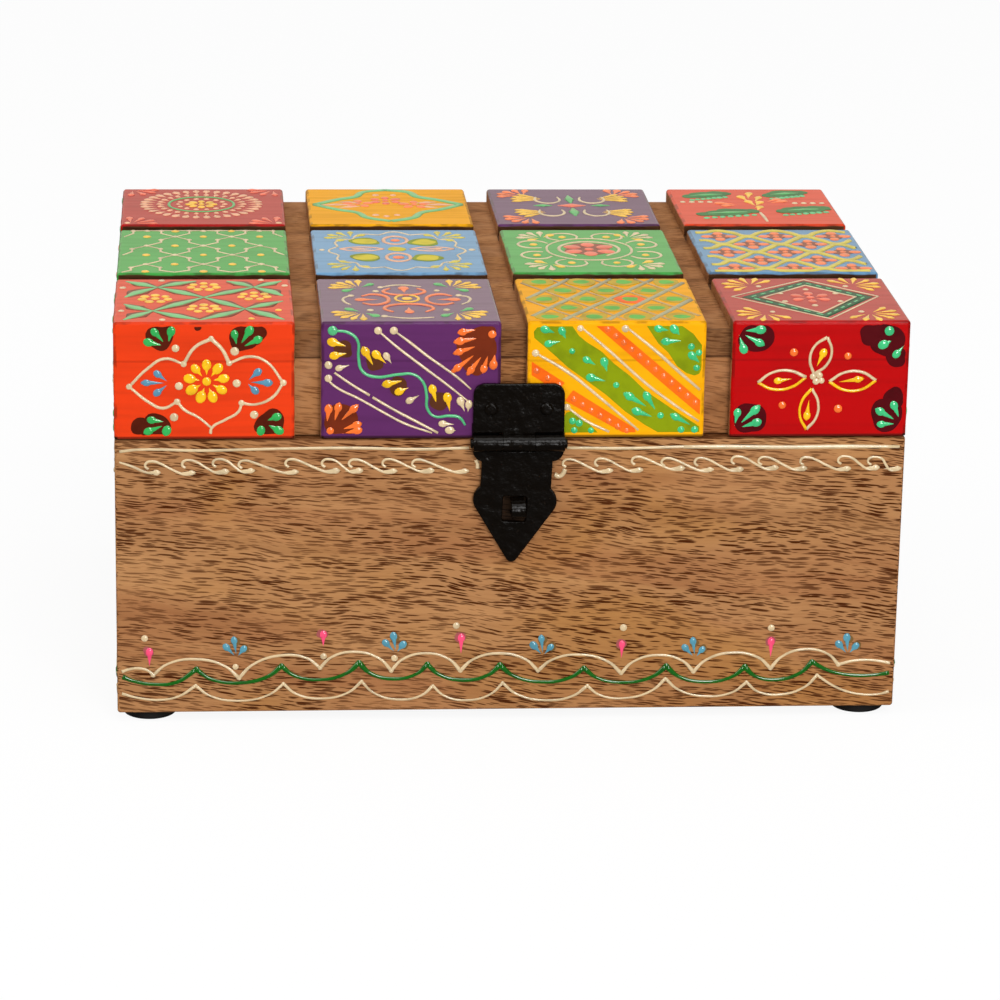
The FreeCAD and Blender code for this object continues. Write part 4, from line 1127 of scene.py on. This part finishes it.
# %% Corner leaves top
def corner_leaves(face):
    for u, v, reach in ((-12, 14.5, 5), (11, 16, 4.6), (-8.5, -8, 7), (13.5, -4.5, 6)):
        for step, swell in enumerate((2.6, 3.8, 4.6, 3.8, 2.4)):
            face.wash("moss_wash", swell, (u + reach * (step / 2 - 1), v + (step - 2) * 0.9))
        face.dots("mint", 0.9, *along((u - reach, v - 6.6), (u + reach, v - 3), 7))
        face.leaf("leaf_green", 2.0, (u - reach, v - 1), (u + reach, v + 1))
    face.drops(
        "yellow", 2.4, (0.5, 16, -0.5, 10), (2.6, 11, 1, 6), (-2.4, 12, -1, 7), (2.2, 5, 0.6, 1),
        (-1, 6, 0.5, 0.5), (1.4, -1, 0.2, -5))
    face.drops("orange", 2.6, (-9.5, 4, -5, 3), (-8, 1, -4.6, 1.8), (9, 6.5, 5, 4.5), (7.5, 8.5, 4.4, 6))
    for side in (-1, 1):
        height = 4.6 - side * 0.8
        face.dots("cream", 0.85, *along((side * 12.2, height), (side * 20, height), 4))
    face.stroke("cream", 1.2, (0.6, -8), (1, -13), (1.2, -19))


# %% Paint the tops
TOP_MOTIFS = (
    (leaf_trellis, curl_rosette, woven_net, diamond_frame),
    (twig_net, scalloped_oval, ringed_flower, ogee_lattice),
    (petal_wheel, ogee_leaf, curled_leaves, corner_leaves),
)
for row, motifs in enumerate(TOP_MOTIFS):
    flat = (BLOCK_X / 2 - EDGE, ROW_DEPTHS[row] / 2 - EDGE)
    for column, motif in enumerate(motifs):
        middle = (ACROSS[column], ROWS[row], LID_TOP)
        decorate(motif, f"top_paint_row{row + 1}_column{column + 1}", middle, RIGHT, BACK, flat)

# %% [markdown]
# The sides and the back of the lid carry the same kinds of ornament, so the front's motifs are used again
# there. The middle blocks of the two sides are green and blue, and take a plain flower with sprays. The
# two back blocks over the hinges take a small spray.

# %% Paint the other sides of the lid
def side_flower(face):
    face.ring("cream", 1.1, (0, 0), 8.6)
    face.flower("yellow", 2.6, (0, 0), 9, 6)
    face.dots("cream", 0.9, *around(12, 11))
    for foot, outwards in face.corners(2, 2):
        face.fan("orange", 2.0, foot, outwards + 180, 4, 7)


def hinge_side(face):
    """Ornament that leaves room for a hinge leaf in the middle of the lower edge."""
    half_u, half_v = face.flat
    face.stroke("cream", 1.1, (-16, 1), (-9, 5), (0, 2), (9, 5), (16, 1))
    face.dots("yellow", 1.1, (-9, 8.4), (0, 5.6), (9, 8.4))
    for side in (-1, 1):
        face.fan("mint", 2.1, (side * (half_u - 2), half_v - 2), 270 - side * 45, 4, 7)
        face.fan("orange", 2.1, (side * (half_u - 1), -half_v + 2), 90 + side * 45, 3, 6, 70)


BACK_MOTIFS = (hinge_side, vine, slanted_stripes, hinge_side)
for column, motif in enumerate(BACK_MOTIFS):
    middle = (ACROSS[3 - column], HALF_Y, FACE_Z)
    decorate(motif, f"back_paint_{column + 1}", middle, -RIGHT, UP, FRONT_FLAT)
SIDE_MOTIFS = {-1: (quatrefoil, side_flower, almond_cross), 1: (almond_cross, side_flower, quatrefoil)}
for side, side_name in ((-1, "left"), (1, "right")):
    for row, motif in enumerate(SIDE_MOTIFS[side]):
        flat = (ROW_DEPTHS[row] / 2 - EDGE, FRONT_FLAT[1])
        middle = (side * HALF_X, ROWS[row], FACE_Z)
        decorate(motif, f"{side_name}_paint_{row + 1}", middle, side * BACK, UP, flat)

# %% [markdown]
# Round the top of the walls run a cream line and a row of S-hooks, and round the foot three scalloped
# lines with small flowers on their points. On the front each one follows the real box, where the painter's
# hand never repeats itself. A scallop is a separate stroke from cusp to cusp, so the cusps stay sharp.

# %% Wall borders
RIM_LINE, HOOK_TOP, HOOK_LENGTH, HOOK_PITCH, SCALLOP_PITCH = 73.6, 70.9, 12, 9, 20
GREEN_LINE, UPPER_LINE, LOWER_LINE = ("wall_green", 1.0, -4.2), ("cream", 0.7, 4.8), ("cream", 0.6, -4.4)


def scallops(face, line, cusps):
    """Strokes from cusp to cusp, in the paint and width of a line, that swing up or down by its bulge."""
    paint, width, bulge = line
    for start, end in zip(cusps, cusps[1:]):
        run = min(1.0, abs(end[0] - start[0]) / 14)
        points = []
        for share in (0.0, 0.16, 0.5, 0.84, 1.0):
            u, v = part_way(start, end, share)
            points.append((u, v + bulge * run * (4 * share * (1 - share)) ** 0.7))
        face.stroke(paint, width, *points, ends=1.5)
    face.dots(paint, 0.85 * width, *cusps)


def hook(face, head, end, top):
    """One S lying on its side, from a small curl over and down to a thick end."""
    face.stroke(
        "cream", 0.65, (head + 0.9, top - 2.1), (head + 0.1, top - 1.3), (head + 0.5, top - 0.3),
        (head + 1.9, top), (head + 3.7, top - 0.5), ((head + end) / 2 + 0.6, top - 2.2),
        (end - 2.6, top - 3.5), (end - 0.9, top - 3.5), ends=1.1)
    face.drops("cream", 1.5, (end - 0.7, top - 3.1, end - 4.4, top - 3.2))


def sprig(face, u, v, lean=0.0):
    """Three blue drops on one foot."""
    face.wash("sage_wash", 1.3, (u + lean + 0.4, v + 4.3), (u + lean + 2.7, v + 2.5))
    heads = ((u + lean, v + 4.7), (u + lean - 2.0, v + 2.9), (u + lean + 2.4, v + 2.4))
    face.spray("sky", 1.9, (u + 0.3, v), *heads)


def bud(face, u, head, tail):
    """A pink drop that stands on a point of the scallops."""
    face.wash("rose_wash", 1.5, (u - 0.2, head + 0.2))
    face.drops("pink", 1.9, (u, head, u, tail))


def front_border(face):
    """The border as it stands in front, mark by mark."""
    face.stroke(
        "cream", 0.75, (-100.8, 73.2), (-96, 73.7), (-80, 73.4), (-60, 73.8), (-40, 73.9), (-25, 73.5),
        (-11.2, 73.8), ends=1)
    face.stroke("cream", 0.75, (14, 73.7), (30, 73.5), (42, 73.8), (50, 73.9), ends=1)
    face.stroke("cream", 1.1, (44, 73.8), (55, 73.8), (70, 73.6), (85, 73.7), (100.6, 73.6), ends=0.8)
    starts = (-93.9, -84.5, -76.7, -70.1, -58.2, -48.9, -42, -33.4, -25.8, 12.9, 21.2, 30.7, 38.4, 47, 56.5,
              63.5, 74.4, 84.2, 92)
    ends = (-81.4, -72.9, -66.3, -55.1, -44.6, -38.7, -29.9, -20.4, -11.5, 25.6, 33.4, 44.2, 51.7, 59.4,
            68.5, 75.9, 87.3, 94.8, 100.5)
    for start, end in zip(starts, ends):
        hook(face, start, end, HOOK_TOP + hand.uniform(-0.3, 0.3))
    face.stroke("cream", 0.65, (-100.8, 70.4), (-97, 69.2), (-94, 67.8), (-92, 67.3))
    face.drops("cream", 1.6, (-91, 67.6, -94.6, 67.6))
    face.stroke("cream", 1.1, (10.9, 66.6), (12.2, 66.1), (13.2, 66.9), (13.6, 68), ends=1.1)
    face.stroke("cream", 0.9, (-9.4, 70.6), (-9, 69.6), (-8.9, 68.3), ends=1.1)
    upper = ((-92.3, 12.8), (-70.1, 11.8), (-49.1, 14.4), (-30.6, 13.5), (-12.6, 13.3), (7.7, 13.1),
             (29.5, 12.2), (48.5, 12.5), (68.8, 13.2), (86.7, 14.1))
    green = ((-81.1, 14.3), (-59.1, 15), (-39, 15.7), (-21.2, 15.1), (-2.3, 14.7), (19.7, 13.7),
             (41.3, 14), (62, 13.6), (79.7, 14.9))
    lower = ((-81.3, 9.8), (-58.6, 10.1), (-38.3, 10.6), (-19.7, 9.2), (-1.5, 9.8), (20.7, 8.8),
             (41.2, 10.6), (62.6, 9.4), (81.2, 11.2))
    for line, cusps in ((GREEN_LINE, green), (UPPER_LINE, upper), (LOWER_LINE, lower)):
        scallops(face, line, cusps)
    line_ends = (
        (GREEN_LINE, 1.5, (-100.8, 12.4), (-97, 11.1), (-92.2, 10.3), (-86.5, 10.7), green[0]),
        (UPPER_LINE, 1.5, (-100.8, 13.8), (-98.4, 14.5), (-95.6, 14.7), (-93.5, 14), upper[0]),
        (LOWER_LINE, 1.5, (-100.8, 7.8), (-96.3, 6.6), (-90.5, 6), (-85.8, 6.9), lower[0]),
        (UPPER_LINE, 1.2, upper[-1], (90.5, 15.1), (94.5, 15.3), (98, 14.9), (100.7, 14.4)),
        (GREEN_LINE, 1.3, green[-1], (83, 13), (86.8, 11.7), (92, 11), (97, 11.2), (100.6, 11.7)),
        (LOWER_LINE, 1.4, lower[-1], (85.6, 8.2), (89.6, 6.5), (93.6, 5.7), (98, 5.8), (100.4, 6.5)))
    for (paint, width, _), swell, *points in line_ends:
        face.stroke(paint, width, *points, ends=swell)
    for u, head, tail in ((-93.2, 19.1, 15.1), (-48.3, 23.5, 20.2), (-12.5, 22.3, 17.9), (29.5, 20.2, 16.3),
                          (68.7, 20.6, 16.2)):
        bud(face, u, head, tail)
    face.dots(
        "cream", 0.9, (-94.4, 22.9), (-71, 14.9), (-48.2, 17.6), (-29.8, 16.9), (-13.8, 25.7), (29.8, 24.8),
        (68.6, 24.4))
    for u, foot in ((-71, 17.4), (-29.7, 18.2), (8.6, 17.2), (48.5, 16.2), (88.8, 16.8)):
        sprig(face, u, foot, hand.uniform(-0.4, 0.4))


def plain_border(face, rim):
    """The same border at an even pitch; the line and the hooks under the rim reach only so far."""
    reach = face.flat[0]
    rim_line = [(rim * (step / 5 - 1), RIM_LINE + hand.uniform(-0.2, 0.2)) for step in range(11)]
    face.stroke("cream", 0.75, *rim_line)
    hooks = int(2 * rim / HOOK_PITCH)
    for number in range(hooks):
        start = -rim + number * (2 * rim - HOOK_LENGTH) / (hooks - 1)
        hook(face, start, start + HOOK_LENGTH, HOOK_TOP)
    spans = int(2 * reach / SCALLOP_PITCH)
    stations = [-reach + 2 * reach * step / spans for step in range(spans + 1)]
    halfway = [-reach] + [(a + b) / 2 for a, b in zip(stations, stations[1:])] + [reach]
    lines = ((GREEN_LINE, halfway, 14.5), (UPPER_LINE, stations, 13.2), (LOWER_LINE, halfway, 9.6))
    for line, places, height in lines:
        scallops(face, line, [(u, height + hand.uniform(-0.5, 0.5)) for u in places])
    for number, u in enumerate(stations[1:-1]):
        if number % 2:
            sprig(face, u, 17.2)
        else:
            bud(face, u, 21, 17)
            face.dots("cream", 0.9, (u, 24.6))


HINGE_ROOM, CORNER_ROOM = 14, 1.5
WALLS = (
    ("front", (0, -HALF_Y), RIGHT, HALF_X, None),
    ("back", (0, HALF_Y), -RIGHT, HALF_X, ACROSS[3] - HINGE_ROOM),
    ("left", (-HALF_X, 0), -BACK, HALF_Y, HALF_Y - CORNER_ROOM),
    ("right", (HALF_X, 0), BACK, HALF_Y, HALF_Y - CORNER_ROOM),
)
for name, middle, right, half, rim in WALLS:
    flat = (half - EDGE, WALL_RIM - EDGE)
    face = Face(f"wall_paint_{name}", "box", "mango_wood", (*middle, 0), right, UP, flat)
    if rim:
        plain_border(face, rim)
    else:
        front_border(face)
    face.finish()

# %% Put the two master marks away
for shape in (dome, tear):
    bpy.data.objects.remove(shape)

# %% [markdown]
# The room is a white studio. The floor takes the box's shadow, and to the camera it is lifted most of the
# way to white. Large soft lamps stand high in front, at the left and overhead, and the white world fills
# the rest at a plain level, so that each colour renders about as it is written. In reflections only the
# back of the room is white, and a little warm: the photographer's side and the floor are dim there, so the
# fronts and the black iron keep their depth while the tops shine. One small strong lamp puts a spark on
# each glossy drop. It stands low, so that the tops cannot mirror it.

# %% Studio
def seen_by(start, *kinds):
    """1 for a ray of any of these kinds, such as those from the camera."""
    light = start.node("ShaderNodeLightPath").socket.node.outputs
    seen = Flow(start.tree, light[kinds[0]])
    for kind in kinds[1:]:
        seen = seen.most(Flow(start.tree, light[kind]))
    return seen


FLOOR_LIFT, ROOM_LIGHT, DIM = 0.92, 0.50, 0.1
WHITE, WARM_WHITE, FLOOR_GREY = (1, 1, 1, 1), (1.0, 0.92, 0.76, 1.0), (0.92, 0.92, 0.92, 1)
AIM = Vector((0, 0, 0.06))
floor_finish, start = new_finish("studio_floor")
mirrored = seen_by(start, "Is Glossy Ray")
matte = start.node("ShaderNodeBsdfDiffuse", {"Color": FLOOR_GREY})
glow = start.node("ShaderNodeEmission", {"Color": WHITE, "Strength": 1.0})
dim_glow = start.node("ShaderNodeEmission", {"Color": WHITE, "Strength": DIM})
lifted = seen_by(start, "Is Camera Ray") * FLOOR_LIFT
blend = start.node("ShaderNodeMixShader", {0: lifted, 1: matte, 2: glow})
blend = start.node("ShaderNodeMixShader", {0: mirrored, 1: blend, 2: dim_glow})
start.node("ShaderNodeOutputMaterial", {"Surface": blend})

bpy.ops.object.select_all(action="DESELECT")
bpy.ops.mesh.primitive_plane_add(size=8)
floor = bpy.context.object
floor.name = "studio_floor"
floor.data.materials.append(floor_finish)

world = bpy.data.worlds.new("white_room")
scene.world = world
world.use_nodes = True
world.node_tree.nodes.clear()
start = Flow(world.node_tree)
direction = start.node("ShaderNodeTexCoord", out=0)
to_back = Flow(start.tree, start.node("ShaderNodeSeparateXYZ", {0: direction}).socket.node.outputs["Y"])
glossy = seen_by(start, "Is Glossy Ray")
mirrored = glossy * (DIM - ROOM_LIGHT + (1 - DIM) * to_back.between(-0.1, 0.4))
strength = ROOM_LIGHT + (1 - ROOM_LIGHT) * seen_by(start, "Is Camera Ray", "Is Transmission Ray") + mirrored
tone = glossy.mix(WHITE, WARM_WHITE)
sky = start.node("ShaderNodeBackground", {"Color": tone, "Strength": strength})
start.node("ShaderNodeOutputWorld", {"Surface": sky})


def soft_lamp(name, place, size, watts):
    """A square lamp that faces the middle of the box."""
    bpy.ops.object.light_add(type="AREA", location=place)
    lamp = bpy.context.object
    lamp.name = name
    lamp.data.size = size
    lamp.data.energy = watts
    lamp.rotation_euler = (AIM - lamp.location).to_track_quat("-Z", "Y").to_euler()


soft_lamp("front_lamp", (0.35, -1.5, 1.35), 0.8, 14)
soft_lamp("spark_lamp", (0.35, -1.4, 0.17), 0.32, 4)
soft_lamp("left_lamp", (-1.6, -0.5, 1.2), 0.9, 9)
soft_lamp("top_lamp", (0.1, -0.3, 1.7), 1.0, 6.5)
print("studio ready")
